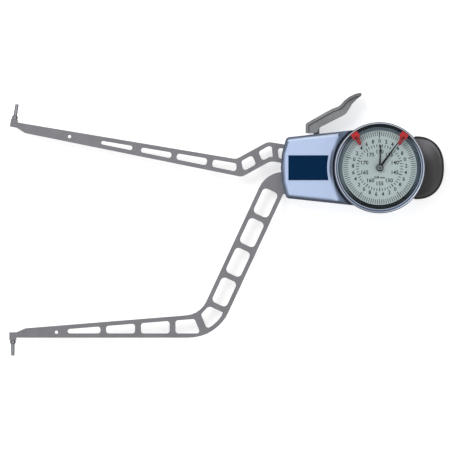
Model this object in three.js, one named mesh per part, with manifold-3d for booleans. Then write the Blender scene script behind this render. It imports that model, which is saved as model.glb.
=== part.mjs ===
// Internal caliper gauge with a dial: two cranked skeleton arms, one fixed and one on a pivot, a press lever
// that closes them, and a toothed sector and gear train that turn the two hands of the dial.
// X runs along the gauge towards the grip, Y towards the press lever, Z out of the dial.
// The origin lies on the back face, under the centre of the dial.
import * as THREE from "three";
import { mergeVertices } from "three/addons/utils/BufferGeometryUtils.js";
import Module from "manifold-3d";

const wasm = await Module();
wasm.setup();

// Fineness of round shapes
const ARC_STEP = degrees(22.5);
const CHORD_ERROR = 0.1;
const SMALL_SIDES = 12;
const ROUND_SIDES = 20;
const LARGE_SIDES = 44;
const COVE_SIDES = 96;

// Clearances
const RUNNING_GAP = 0.1;
const SEAT_GAP = 0.3;
const FREE_GAP = 0.6;
const CUT_OVERRUN = 2;
const MERGE_OVERLAP = 0.5;

// Gear train: sector, first pinion, transfer wheel, centre pinion, and a pair of counter gears
const SECTOR_TEETH = 264;
const PINION_TEETH = 10;
const SECTOR_MODULE = 0.3;
const TRANSFER_TEETH = 100;
const TRANSFER_MODULE = 0.28;
const COUNTER_TEETH = 20;
const TRAIN_ANGLE = degrees(-8.05);
const ARM_TRAVEL = degrees(14.1);

// Heights above the back face
const COVER_THICKNESS = 2;
const CAVITY_DEPTH = 15;
const FACE_THICKNESS = 4.5;
const RECESS_DEPTH = 2.3;
const NECK_HEIGHT = 2.8;
const ARM_LIFT = 6;
const ARM_THICKNESS = 5;
const SECTOR_THICKNESS = 1.4;
const WHEEL_LIFT = 1;
const WHEEL_THICKNESS = 0.8;
const COUNTER_LIFT = 1.4;
const BRIDGE_LIFT = 0.8;
const BRIDGE_THICKNESS = 1.2;
const PLATE_THICKNESS = 1.5;
const LEDGE_THICKNESS = 1.5;

// Housing
const HOUSING_END_SETBACK = 14.86;
const HOUSING_CORNER_HALF = 20.8;
const HOUSING_END_ARC = 62;
const HOUSING_CORNER_RADIUS = 3;
const HOUSING_END_HALF = 21.45;
const HOUSING_TAPER = degrees(6.1);
const CASE_RADIUS = 31;
const HOUSING_WALL = 2.5;
const EDGE_ROUNDING = 2.6;
const WELL_RADIUS = 27.5;
const NECK_WALL = 2.1;
const NECK_GROOVE_DEPTH = 0.7;
const NECK_GROOVE_WIDTH = 0.8;
const COVE_MARGIN = 2.5;
const COVE_CENTRE_X = 22;
const COVE_SLOPE_RUN = 3.5;
const LEDGE_WIDTH = 4.4;
const LEDGE_SPAN = degrees(112);
const BOSS_RADIUS = 3;
const COVER_BOSS_HEIGHT = 5.5;
const COVER_SCREW_SETBACK = 6.6;
const COVER_SCREW_ANGLE = degrees(45);
const MOVEMENT_SCREW_ANGLE = degrees(100);

// Moving and fixed arms
const ARM_REST_TILT = degrees(9.5);
const RAIL = 3.05;
const POCKET_RADIUS = 1.9;
const END_BLOCK_LENGTH = 5.1;
const END_BLOCK_HEIGHT = 5.8;
const END_BLOCK_STEP = 1.9;
const NOSE_LENGTH = 11.6;
const NOSE_RADIUS = 2;
const GAUGE_HOLE_RADIUS = 1.2;

const UPPER_LENGTH = 210.2;
const UPPER_EDGE_DROP = 9.3;
const UPPER_ELBOW = 45.9;
const UPPER_CRANK_ANGLE = degrees(38.3);
const UPPER_CRANK_WIDTH = 13.2;
const UPPER_NOSE_DEPTH = 6.7;
const UPPER_INNER_TAPER = degrees(1.93);
const UPPER_ROOT_HALF = 6.7;
const UPPER_ELBOW_RADIUS = 5;
const UPPER_ROOT_RADIUS = 8;
const UPPER_HOLE_SETBACK = 43.5;
const UPPER_LAST_RIB_ANGLE = degrees(100);
const UPPER_CRANK_POCKET_START = 1.36;
const UPPER_CRANK_POCKET_END = 10.97;
const UPPER_SHOULDER_START = 16.1;
const UPPER_CRANK_RIB_ANGLES = [-67.7, -56, -58].map(degrees);
const UPPER_ROOT_RIB = 19.1;
const UPPER_ROOT_RIB_WIDTH = 4.15;
const UPPER_ROOT_RIB_ANGLE = degrees(-75);

const LOWER_LENGTH = 265.8;
const LOWER_DROP = 122;
const LOWER_CRANK_ANGLE = degrees(65.1);
const LOWER_CRANK_WIDTH = 17.7;
const LOWER_SHOULDER = 81.1;
const LOWER_INNER_TAPER = degrees(4.6);
const LOWER_NOSE_DEPTH = 6.75;
const LOWER_ROOT_TOP = 2.9;
const LOWER_ROOT_BOTTOM = 18.9;
const LOWER_ROOT_END = 50;
const LOWER_OUTER_RADIUS = 31.6;
const LOWER_INNER_RADIUS = 17.2;
const LOWER_ROOT_RADIUS = 19.2;
const LOWER_HOLE_SETBACK = 33.9;
const CRANK_POCKET_PITCH = 23.5;
const CRANK_POCKET_LENGTH = 19.5;
const CRANK_POCKET_RADIUS = 3;
const CRANK_POCKETS = 4;
const CRANK_POCKET_START = 10.75;
const ELBOW_RIB_WIDTH = 5.5;
const ELBOW_RIB_HEIGHT = 10.2;
const ELBOW_RIB_SETBACK = 8;
const ELBOW_RIB_ANGLE = degrees(112.3);

// Contact pins at the arm ends
const CONTACT_COLLAR_RADIUS = 2.25;
const CONTACT_COLLAR_END_RADIUS = 1.55;
const CONTACT_COLLAR_LENGTH = 2.5;
const CONTACT_PIN_RADIUS = 1.2;
const CONTACT_PIN_TIP_RADIUS = 0.95;
const CONTACT_PIN_LENGTH = 8.5;
const CONTACT_TIP_ROUND = 0.3;
const CONTACT_SHANK_RADIUS = 1.1;
const CONTACT_SHANK_LENGTH = 4;

// Pivot, tail and sector of the moving arm
const PIVOT_RADIUS = 1.9;
const BUSH_WALL = 1.5;
const HUB_RADIUS = 7.4;
const TAIL_LENGTH = 14.5;
const TAIL_HALF = 4.8;
const SECTOR_START = 5.8;
const SECTOR_WEB_HALF = 3.4;
const SECTOR_RIM = 4;
const SECTOR_RAIL = 1.4;
const SECTOR_SPARE = degrees(2.6);
const EAR_HALF = 3.2;
const DRIVE_PIN_RADIUS = 1.2;
const STOP_PIN_RADIUS = 1.3;
const HOOK_PIN_RADIUS = 1;

// Press lever, from its shaft; its shape is given along its length and its rise
const LEVER_X = -45.2;
const LEVER_Y = 17.8;
const LEVER_CRANK = 6;
const LEVER_SHAFT_RADIUS = 1.5;
const LEVER_HUB_RADIUS = 2.9;
const LEVER_CRANK_HALF = 2.2;
const LEVER_CRANK_THICKNESS = 4.2;
const LEVER_NECK_WIDTH = 4.3;
const LEVER_HEEL = 7.7;
const LEVER_FOOT_HEIGHT = 7.2;
const LEVER_LENGTH = 40.2;
const LEVER_RISE = 28.9;
const LEVER_STRAP = 2.2;
const LEVER_WIDTH = 13;
const LEVER_INSET = 1;
const LEVER_SIDE_WALL = 2;

// Bezel, dial and hands
const BEZEL_WALL = 2.9;
const BEZEL_LIFT = 0.4;
const BEZEL_CROWN_WIDTH = 1.2;
const BEZEL_TRACK_DEPTH = 0.8;
const BEZEL_CHAMFER = 0.6;
const DIAL_SEAT_THICKNESS = 0.6;
const DIAL_SEAT_WIDTH = 1.5;
const DIAL_THICKNESS = 0.5;
const DIAL_VIEW_RADIUS = 26.7;
const DIAL_RING_HEIGHT = 3.2;
const DIAL_RING_LIP = 0.8;
const CRYSTAL_THICKNESS = 1.5;
const GASKET_WALL = 0.4;
const MARKER_ANGLE = degrees(37);
const MARKER_TIP_RADIUS = 21.2;
const MARKER_HEAD_DEPTH = 4.9;
const MARKER_HEAD_HALF = 3.25;
const MARKER_TONGUE_HALF = 1.6;
const MARKER_THICKNESS = 0.5;
const MARKER_HEAD_THICKNESS = 1.3;
const MAIN_HAND_READING = degrees(36.3);
const MAIN_HAND_LENGTH = 24;
const MAIN_HAND_TAIL = 4;
const SMALL_HAND_READING = degrees(3);
const SMALL_HAND_LENGTH = 16.5;
const HAND_ROOT_HALF = 0.6;
const HAND_TIP_HALF = 0.25;
const HAND_HUB_RADIUS = 2.4;
const HAND_THICKNESS = 0.4;
const HAND_LIFT = 0.6;

// Arbors of the movement
const PIVOT_TIP_RADIUS = 0.6;
const ARBOR_RADIUS = 1;
const CENTRE_ARBOR_RADIUS = 0.75;
const TRANSFER_RIM = 2.2;
const TRANSFER_SPOKE = 1.6;
const TRANSFER_SPOKES = 5;
const COUNTER_TUBE_WALL = 0.55;
const COUNTER_FLANGE = 0.7;
const COLLET_RADIUS = 1.3;
const PILLAR_RADIUS = 1.5;
const PILLAR_REACH = 20;
const PILLAR_SPREAD_SHARES = [
  [-0.75, 0.95],
  [-0.75, -0.8],
  [1, 0],
];
const BRIDGE_EYE = 2.6;

// Springs
const SPRING_WIRE = 0.8;
const SPRING_COIL_RADIUS = 1.65;
const SPRING_PITCH = 1.55;
const SPRING_LIFT = 3.4;
const SPRING_WIRE_SIDES = 5;
const SPRING_STEPS = 8;
const SPRING_POST_RUN = 3.6;
const SPRING_POST_DROP = 21.6;
const HAIRSPRING_WIRE = 0.3;
const HAIRSPRING_WIDTH = 0.8;
const HAIRSPRING_PITCH = 1.4;
const HAIRSPRING_TURNS = 3.5;
const HAIRSPRING_STEPS = 14;
const HAIRSPRING_STUD_RADIUS = 0.9;
const SPRING_RING_WIRE = 0.5;
const SPRING_RING_GAP = degrees(24);

// Grip and fasteners
const GRIP_REACH = 46.4;
const GRIP_HALF = 22.65;
const GRIP_SHOULDER = 26;
const GRIP_SQUARENESS = 2.3;
const GRIP_STEPS = 20;
const GRIP_ROUNDING = 1.4;
const GRIP_SCREW_X = 35.5;
const GRIP_SCREW_HALF = 6.5;
const GRIP_LOW = 0.6;
const GRIP_THICKNESS = 18;
const TONGUE_REACH = 39;
const TONGUE_HALF = 11;
const TONGUE_LOW = 7.5;
const TONGUE_THICKNESS = 4;
const LABEL_SETBACK = 5.4;
const LABEL_HALF = 8.9;
const LABEL_THICKNESS = 0.4;
const LABEL_ARC = 37.7;
const SCREW_SHANK_RADIUS = 1.1;
const SCREW_HEAD_RADIUS = 2.2;
const SCREW_HEAD_HEIGHT = 1.4;
const SCREW_SOCKET_RADIUS = 0.9;
const SMALL_SCREW_SHANK_RADIUS = 0.8;
const SMALL_SCREW_HEAD_RADIUS = 1.6;
const SMALL_SCREW_HEAD_HEIGHT = 1;

// Shares: places along a size, from nought to one
const UPPER_POCKET_SHARES = [
  [0.192, 0.38],
  [0.4322, 0.6159],
  [0.6481, 0.8303],
  [0.8642, 1.005],
];
const LOWER_POCKET_SHARES = [
  [0.0772, 0.3052],
  [0.344, 0.5447],
  [0.5863, 0.7843],
];
const LOWER_LAST_POCKET_SHARE = 0.8259;
const ARM_SCREW_SHARES = [
  [0.53, 0.256],
  [0.192, 0.256],
  [0.361, 0.756],
];
const SECTOR_SCREW_SHARES = [0.54, 0.84];
const HOOK_SHARES = [0.62, -0.71];
const STOP_SHARE = 0.79;
const TOOTH_ROOT_SHARE = 0.6;
const TOOTH_TIP_SHARE = 0.26;
const ADDENDUM_SHARE = 0.78;
const DEDENDUM_SHARE = 1.25;
const SECTOR_WINDOW_SHARES = [0.42, 0.84];
const LEVER_TOP_SHARES = [
  [0, 0],
  [0, 0.22],
  [0.035, 0.262],
  [0.44, 0.578],
  [0.49, 0.61],
  [0.575, 0.651],
  [0.61, 0.682],
  [0.648, 0.74],
  [0.701, 0.82],
  [0.791, 0.91],
  [0.881, 0.969],
  [0.968, 1],
  [1, 0.979],
];
const LEVER_UNDER_SHARES = [
  [0.995, 0.931],
  [0.915, 0.844],
  [0.826, 0.72],
  [0.774, 0.595],
  [0.719, 0.484],
  [0.667, 0.436],
  [0.262, 0.146],
  [0.236, 0.1],
  [0.215, 0.035],
  [0.175, 0],
];

// Angles, lines and outlines
function degrees(angle) {
  return (angle * Math.PI) / 180;
}

function point(x, y) {
  return new THREE.Vector2(x, y);
}

function polar(radius, angle, centre = point(0, 0)) {
  return point(centre.x + radius * Math.cos(angle), centre.y + radius * Math.sin(angle));
}

function line(at, angle) {
  return { at, angle };
}

// The line moved to the left of its own direction.
function shifted(edge, distance) {
  return line(polar(distance, edge.angle + Math.PI / 2, edge.at), edge.angle);
}

function meet(first, second) {
  const along = polar(1, first.angle);
  const across = polar(1, second.angle);
  const between = second.at.clone().sub(first.at);
  const reach = between.cross(across) / along.cross(across);
  return first.at.clone().addScaledVector(along, reach);
}

// Where a line crosses a circle, at the crossing that lies furthest along the line.
function meetCircle(edge, centre, radius) {
  const along = polar(1, edge.angle);
  const toCentre = centre.clone().sub(edge.at);
  const foot = toCentre.dot(along);
  const half = Math.sqrt(radius ** 2 - toCentre.lengthSq() + foot ** 2);
  return edge.at.clone().addScaledVector(along, foot + half);
}

function arc(centre, radius, from, to) {
  const step = radius > CHORD_ERROR ? Math.min(ARC_STEP, 2 * Math.acos(1 - CHORD_ERROR / radius)) : ARC_STEP;
  const steps = Math.max(1, Math.ceil(Math.abs(to - from) / step));
  return Array.from({ length: steps + 1 }, (_, i) => polar(radius, from + ((to - from) * i) / steps, centre));
}

function circle(radius, centre = point(0, 0), sides = SMALL_SIDES) {
  return Array.from({ length: sides }, (_, i) => polar(radius, (2 * Math.PI * i) / sides, centre));
}

// An outline from corners, each a point and the radius that rounds it; a fillet is limited by its edges.
function rounded(corners) {
  const outline = [];
  corners.forEach(([at, radius], i) => {
    const before = corners[(i + corners.length - 1) % corners.length][0];
    const after = corners[(i + 1) % corners.length][0];
    const back = before.clone().sub(at);
    const ahead = after.clone().sub(at);
    const half = Math.acos(back.dot(ahead) / back.length() / ahead.length()) / 2;
    const room = Math.min(back.length(), ahead.length()) / 2;
    const setback = Math.min(radius / Math.tan(half), room);
    if (setback <= 0 || !Number.isFinite(setback)) {
      outline.push(at);
      return;
    }
    const fillet = setback * Math.tan(half);
    const start = at.clone().addScaledVector(back.normalize(), setback);
    const middle = back.clone().add(ahead.clone().normalize()).normalize();
    const centre = at.clone().addScaledVector(middle, fillet / Math.sin(half));
    const end = at.clone().addScaledVector(ahead.normalize(), setback);
    const from = Math.atan2(start.y - centre.y, start.x - centre.x);
    const to = Math.atan2(end.y - centre.y, end.x - centre.x);
    const turn = Math.atan2(Math.sin(to - from), Math.cos(to - from));
    outline.push(...arc(centre, fillet, from, from + turn));
  });
  return outline;
}

function evenly(points, radius) {
  return rounded(points.map((at) => [at, radius]));
}

function turnedAbout(points, angle, centre = point(0, 0)) {
  return points.map((at) => at.clone().sub(centre).rotateAround(point(0, 0), angle).add(centre));
}

// Two round ends joined by tangents.
function link(first, firstRadius, second, secondRadius) {
  const heading = Math.atan2(second.y - first.y, second.x - first.x);
  const lean = Math.acos((firstRadius - secondRadius) / first.distanceTo(second));
  return [
    ...arc(second, secondRadius, heading - lean, heading + lean),
    ...arc(first, firstRadius, heading + lean, heading + 2 * Math.PI - lean),
  ];
}

// Teeth with straight flanks, as outline points from the first tooth to the last.
function teeth(count, module, phase, first = 0, last = count - 1) {
  const pitch = (2 * Math.PI) / count;
  const radius = (count * module) / 2;
  const root = radius - DEDENDUM_SHARE * module;
  const tip = radius + ADDENDUM_SHARE * module;
  const outline = [];
  for (let i = first; i <= last; i += 1) {
    const centre = phase + i * pitch;
    outline.push(
      polar(root, centre - (pitch * TOOTH_ROOT_SHARE) / 2),
      polar(tip, centre - (pitch * TOOTH_TIP_SHARE) / 2),
      polar(tip, centre + (pitch * TOOTH_TIP_SHARE) / 2),
      polar(root, centre + (pitch * TOOTH_ROOT_SHARE) / 2),
    );
  }
  return outline;
}

// Solids
function slab(outline, low, high, holes = [], bevel = 0) {
  const shape = new THREE.Shape(outline);
  shape.holes = holes.map((hole) => new THREE.Path(hole));
  const geometry = new THREE.ExtrudeGeometry(shape, {
    depth: high - low - 2 * bevel,
    bevelEnabled: bevel > 0,
    bevelThickness: bevel,
    bevelSize: bevel,
    bevelOffset: -bevel,
    bevelSegments: 3,
  });
  return geometry.translate(0, 0, low + bevel);
}

function lathed(profile, sides = ROUND_SIDES) {
  const points = profile.map(([radius, height]) => point(radius, height));
  return new THREE.LatheGeometry(points, sides).rotateX(Math.PI / 2);
}

// A ring with a rectangular section.
function ring(inner, outer, low, high, sides = LARGE_SIDES) {
  const profile = [
    [inner, low],
    [outer, low],
    [outer, high],
    [inner, high],
    [inner, low],
  ];
  return lathed(profile, sides);
}

function rod(radius, low, high, sides = SMALL_SIDES) {
  const profile = [
    [0, low],
    [radius, low],
    [radius, high],
    [0, high],
  ];
  return lathed(profile, sides);
}

function solid(geometry) {
  const bare = geometry.clone();
  bare.deleteAttribute("normal");
  bare.deleteAttribute("uv");
  const merged = mergeVertices(bare);
  return new wasm.Manifold(
    new wasm.Mesh({
      numProp: 3,
      vertProperties: merged.attributes.position.array,
      triVerts: new Uint32Array(merged.index.array),
    }),
  );
}

function built(made) {
  const mesh = made.getMesh();
  const geometry = new THREE.BufferGeometry();
  geometry.setAttribute("position", new THREE.BufferAttribute(mesh.vertProperties, 3));
  geometry.setIndex(new THREE.BufferAttribute(mesh.triVerts, 1));
  const open = geometry.toNonIndexed();
  open.computeVertexNormals();
  return open;
}

function joined(...geometries) {
  return built(geometries.map(solid).reduce((all, next) => all.add(next)));
}

function cut(geometry, ...tools) {
  return built(tools.map(solid).reduce((rest, tool) => rest.subtract(tool), solid(geometry)));
}

function seat(geometry, place, height = 0) {
  return geometry.translate(place.x, place.y, height);
}

// Materials
function finish(color, roughness, metalness) {
  return new THREE.MeshStandardMaterial({ color, roughness, metalness });
}

const armGrey = finish(0x818085, 0.55, 0.5);
const leverGrey = finish(0x808183, 0.55, 0.4);
const housingBlue = finish(0xb7c9ea, 0.45, 0.2);
const labelNavy = finish(0x0a2c4b, 0.4, 0.1);
const brightSteel = finish(0xa9afb8, 0.3, 0.9);
const darkSteel = finish(0x55585e, 0.4, 0.9);
const brass = finish(0xb8965a, 0.35, 0.9);
const bronze = finish(0x9a7444, 0.4, 0.9);
const bezelSteel = finish(0x8f9bb0, 0.3, 0.7);
const dialGrey = finish(0xa0acad, 0.6, 0);
const dialRingDark = finish(0x3a4a5a, 0.5, 0.2);
const handBlack = finish(0x16181a, 0.5, 0.1);
const markerRed = finish(0xb43232, 0.4, 0);
const gripBlack = finish(0x4e4e4e, 0.7, 0);
const rubberBlack = finish(0x202224, 0.9, 0);
const coverGrey = finish(0x8b93a1, 0.5, 0.5);
const clearGlass = finish(0xeef4f6, 0.05, 0);
clearGlass.transparent = true;
clearGlass.opacity = 0.25;

// Heights worked out from the stack
const wallLow = COVER_THICKNESS + CAVITY_DEPTH;
const faceHigh = wallLow + FACE_THICKNESS;
const recessFloor = faceHigh - RECESS_DEPTH;
const bezelBore = WELL_RADIUS + NECK_WALL + 2 * RUNNING_GAP;
const bezelRadius = bezelBore + BEZEL_WALL;
const coveRadius = bezelRadius + COVE_MARGIN + COVE_CENTRE_X;
const neckHigh = recessFloor + NECK_HEIGHT;
const armLow = COVER_THICKNESS + ARM_LIFT;
const armHigh = armLow + ARM_THICKNESS;
const armMiddle = (armLow + armHigh) / 2;
const sectorHigh = armHigh + SECTOR_THICKNESS;
const wheelLow = sectorHigh + WHEEL_LIFT;
const wheelHigh = wheelLow + WHEEL_THICKNESS;
const counterLow = wheelHigh + COUNTER_LIFT;
const counterHigh = counterLow + WHEEL_THICKNESS;
const bridgeLow = counterHigh + BRIDGE_LIFT;
const bridgeHigh = bridgeLow + BRIDGE_THICKNESS;
const ledgeHigh = armLow + FREE_GAP;
const ledgeLow = ledgeHigh - LEDGE_THICKNESS;
const plateHigh = ledgeHigh + PLATE_THICKNESS;
const leverLow = COVER_THICKNESS + 2 * FREE_GAP;
const leverCrankHigh = leverLow + LEVER_CRANK_THICKNESS;
const springMiddle = COVER_THICKNESS + SPRING_LIFT;
const springPinLow = springMiddle - 2 * SPRING_WIRE;
const coverBossHigh = COVER_THICKNESS + COVER_BOSS_HEIGHT;
const shaftBossLow = armHigh + RUNNING_GAP + SEAT_GAP;
const gripSeat = GRIP_LOW + 2 * SCREW_HEAD_HEIGHT;
const tongueHigh = TONGUE_LOW + TONGUE_THICKNESS;
const contactTip = CONTACT_COLLAR_LENGTH + CONTACT_PIN_LENGTH;

// Places worked out from the gear train
const sectorRadius = (SECTOR_TEETH * SECTOR_MODULE) / 2;
const firstDistance = ((SECTOR_TEETH + PINION_TEETH) * SECTOR_MODULE) / 2;
const transferDistance = ((TRANSFER_TEETH + PINION_TEETH) * TRANSFER_MODULE) / 2;
const counterModule = transferDistance / COUNTER_TEETH;
const dialCentre = point(0, 0);
const firstPlace = polar(transferDistance, Math.PI + TRAIN_ANGLE);
const pivot = polar(transferDistance + firstDistance, Math.PI + TRAIN_ANGLE);
const housingReach = HOUSING_END_SETBACK - pivot.x;
const leverPlace = point(LEVER_X, LEVER_Y);
const leverDistance = pivot.distanceTo(leverPlace);
const leverHeading = Math.atan2(LEVER_Y - pivot.y, LEVER_X - pivot.x);
const earRadius = leverDistance - LEVER_CRANK;
const leverRatio = earRadius / LEVER_CRANK;
const leverTravel = ARM_TRAVEL * leverRatio;

// Groups, one for each moving body
const gauge = new THREE.Group();

function bodyAt(place, turn, parent = gauge) {
  const group = new THREE.Group();
  group.position.set(place.x, place.y, 0);
  group.rotation.z = turn;
  parent.add(group);
  return group;
}

const movingArm = bodyAt(pivot, -ARM_REST_TILT);
const lever = bodyAt(leverPlace, 0);
const firstBody = bodyAt(firstPlace, 0);
const centreBody = bodyAt(dialCentre, 0);
const counterBody = bodyAt(dialCentre, 0);
const bezelBody = bodyAt(dialCentre, 0);

function piece(name, geometry, material, parent = gauge) {
  const mesh = new THREE.Mesh(geometry, material);
  mesh.name = name;
  parent.add(mesh);
  return mesh;
}

// Screws: a socket-headed one whose head points down, a small one whose head points up, and a countersunk one
function headedScrew(headLow, shankHigh) {
  const headHigh = headLow + SCREW_HEAD_HEIGHT;
  const socket = headLow + SCREW_HEAD_HEIGHT / 2;
  const profile = [
    [0, socket],
    [SCREW_SOCKET_RADIUS, socket],
    [SCREW_SOCKET_RADIUS, headLow],
    [SCREW_HEAD_RADIUS, headLow],
    [SCREW_HEAD_RADIUS, headHigh],
    [SCREW_SHANK_RADIUS, headHigh],
    [SCREW_SHANK_RADIUS, shankHigh],
    [0, shankHigh],
  ];
  return lathed(profile, SMALL_SIDES);
}

function smallScrew(shankLow, headLow) {
  const headHigh = headLow + SMALL_SCREW_HEAD_HEIGHT;
  const socket = headLow + SMALL_SCREW_HEAD_HEIGHT / 2;
  const profile = [
    [0, shankLow],
    [SMALL_SCREW_SHANK_RADIUS, shankLow],
    [SMALL_SCREW_SHANK_RADIUS, headLow],
    [SMALL_SCREW_HEAD_RADIUS, headLow],
    [SMALL_SCREW_HEAD_RADIUS, headHigh],
    [SCREW_SOCKET_RADIUS, headHigh],
    [SCREW_SOCKET_RADIUS, socket],
    [0, socket],
  ];
  return lathed(profile, SMALL_SIDES);
}

function countersink(gap, low, high) {
  const head = SCREW_HEAD_RADIUS + gap;
  const shank = SCREW_SHANK_RADIUS + gap;
  const profile = [
    [0, low],
    [head, low],
    [head, SEAT_GAP],
    [shank, SEAT_GAP + head - shank],
    [shank, high],
    [0, high],
  ];
  return lathed(profile, SMALL_SIDES);
}

// Housing outline, with the end arc, the tapered flanks and the round case; inset makes the cavity from it.
const endCentre = point(-housingReach + HOUSING_END_ARC, 0);
const endLean = Math.asin(HOUSING_CORNER_HALF / HOUSING_END_ARC);
const flankLine = line(point(-housingReach, HOUSING_END_HALF), HOUSING_TAPER);

function housingOutline(inset) {
  const flank = shifted(flankLine, -inset);
  const caseRadius = CASE_RADIUS - inset;
  const endRadius = HOUSING_END_ARC - inset;
  const endTangent = line(polar(endRadius, Math.PI - endLean, endCentre), Math.PI / 2 - endLean);
  const flankEnd = meetCircle(line(flank.at, flank.angle + Math.PI), dialCentre, caseRadius);
  const top = rounded([
    [polar(endRadius, Math.PI - endLean / 2, endCentre), 0],
    [meet(flank, endTangent), Math.max(HOUSING_CORNER_RADIUS - inset, 0)],
    [flankEnd, 0],
  ]);
  const start = Math.atan2(flankEnd.y, flankEnd.x);
  const round = arc(dialCentre, caseRadius, start, -start);
  const mirrored = top.map((corner) => point(corner.x, -corner.y)).reverse();
  return [point(-housingReach + inset, 0), ...top, ...round.slice(1, -1), ...mirrored];
}

// Places inside the housing
const rootLength = housingReach - LOWER_ROOT_END;
const rootWidth = LOWER_ROOT_BOTTOM - LOWER_ROOT_TOP;
const armScrewPlaces = ARM_SCREW_SHARES.map(([x, y]) =>
  point(-LOWER_ROOT_END - x * rootLength, -LOWER_ROOT_TOP - y * rootWidth),
);
const coverScrewPlaces = [1, -1].flatMap((side) => [
  point(-housingReach + COVER_SCREW_SETBACK, side * (HOUSING_CORNER_HALF - BOSS_RADIUS)),
  polar(CASE_RADIUS - BOSS_RADIUS - SEAT_GAP, side * COVER_SCREW_ANGLE),
]);
const gripScrewPlaces = [1, -1].map((side) => point(GRIP_SCREW_X, side * GRIP_SCREW_HALF));
const movementScrewPlaces = [1, 0, -1].map((side) =>
  polar(WELL_RADIUS - SMALL_SCREW_HEAD_RADIUS, side * MOVEMENT_SCREW_ANGLE),
);
const pillarPlaces = PILLAR_SPREAD_SHARES.map(([x, y]) => point(x * PILLAR_REACH, y * PILLAR_REACH));
const screwHole = SCREW_SHANK_RADIUS + RUNNING_GAP;
const smallScrewHole = SMALL_SCREW_SHANK_RADIUS + RUNNING_GAP;

// A plain round tool that runs past both ends, for cutting holes.
function drilled(radius, low, high, places, sides = SMALL_SIDES) {
  return places.map((place) => seat(rod(radius, low - CUT_OVERRUN, high + CUT_OVERRUN, sides), place));
}

function box(left, right, front, back, low, high) {
  const corners = [point(left, front), point(right, front), point(right, back), point(left, back)];
  return slab(corners, low, high);
}

function sector(inner, outer, from, to) {
  return [...arc(dialCentre, outer, from, to), ...arc(dialCentre, inner, to, from)];
}

function neckRing() {
  const outer = WELL_RADIUS + NECK_WALL;
  const grooveLow = (recessFloor + neckHigh - NECK_GROOVE_WIDTH) / 2;
  const grooveHigh = grooveLow + NECK_GROOVE_WIDTH;
  const profile = [
    [WELL_RADIUS, recessFloor - MERGE_OVERLAP],
    [outer, recessFloor - MERGE_OVERLAP],
    [outer, grooveLow],
    [outer - NECK_GROOVE_DEPTH, grooveLow],
    [outer - NECK_GROOVE_DEPTH, grooveHigh],
    [outer, grooveHigh],
    [outer, neckHigh],
    [WELL_RADIUS, neckHigh],
    [WELL_RADIUS, recessFloor - MERGE_OVERLAP],
  ];
  return lathed(profile, LARGE_SIDES);
}

function gripTongue(grow) {
  const inner = CASE_RADIUS - HOUSING_WALL / 2;
  const half = TONGUE_HALF + grow;
  const lean = Math.asin(half / inner);
  const outline = [
    ...arc(dialCentre, inner, lean, -lean),
    point(TONGUE_REACH + grow, -half),
    point(TONGUE_REACH + grow, half),
  ];
  return slab(outline, TONGUE_LOW - grow, TONGUE_LOW + TONGUE_THICKNESS + grow);
}

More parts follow.
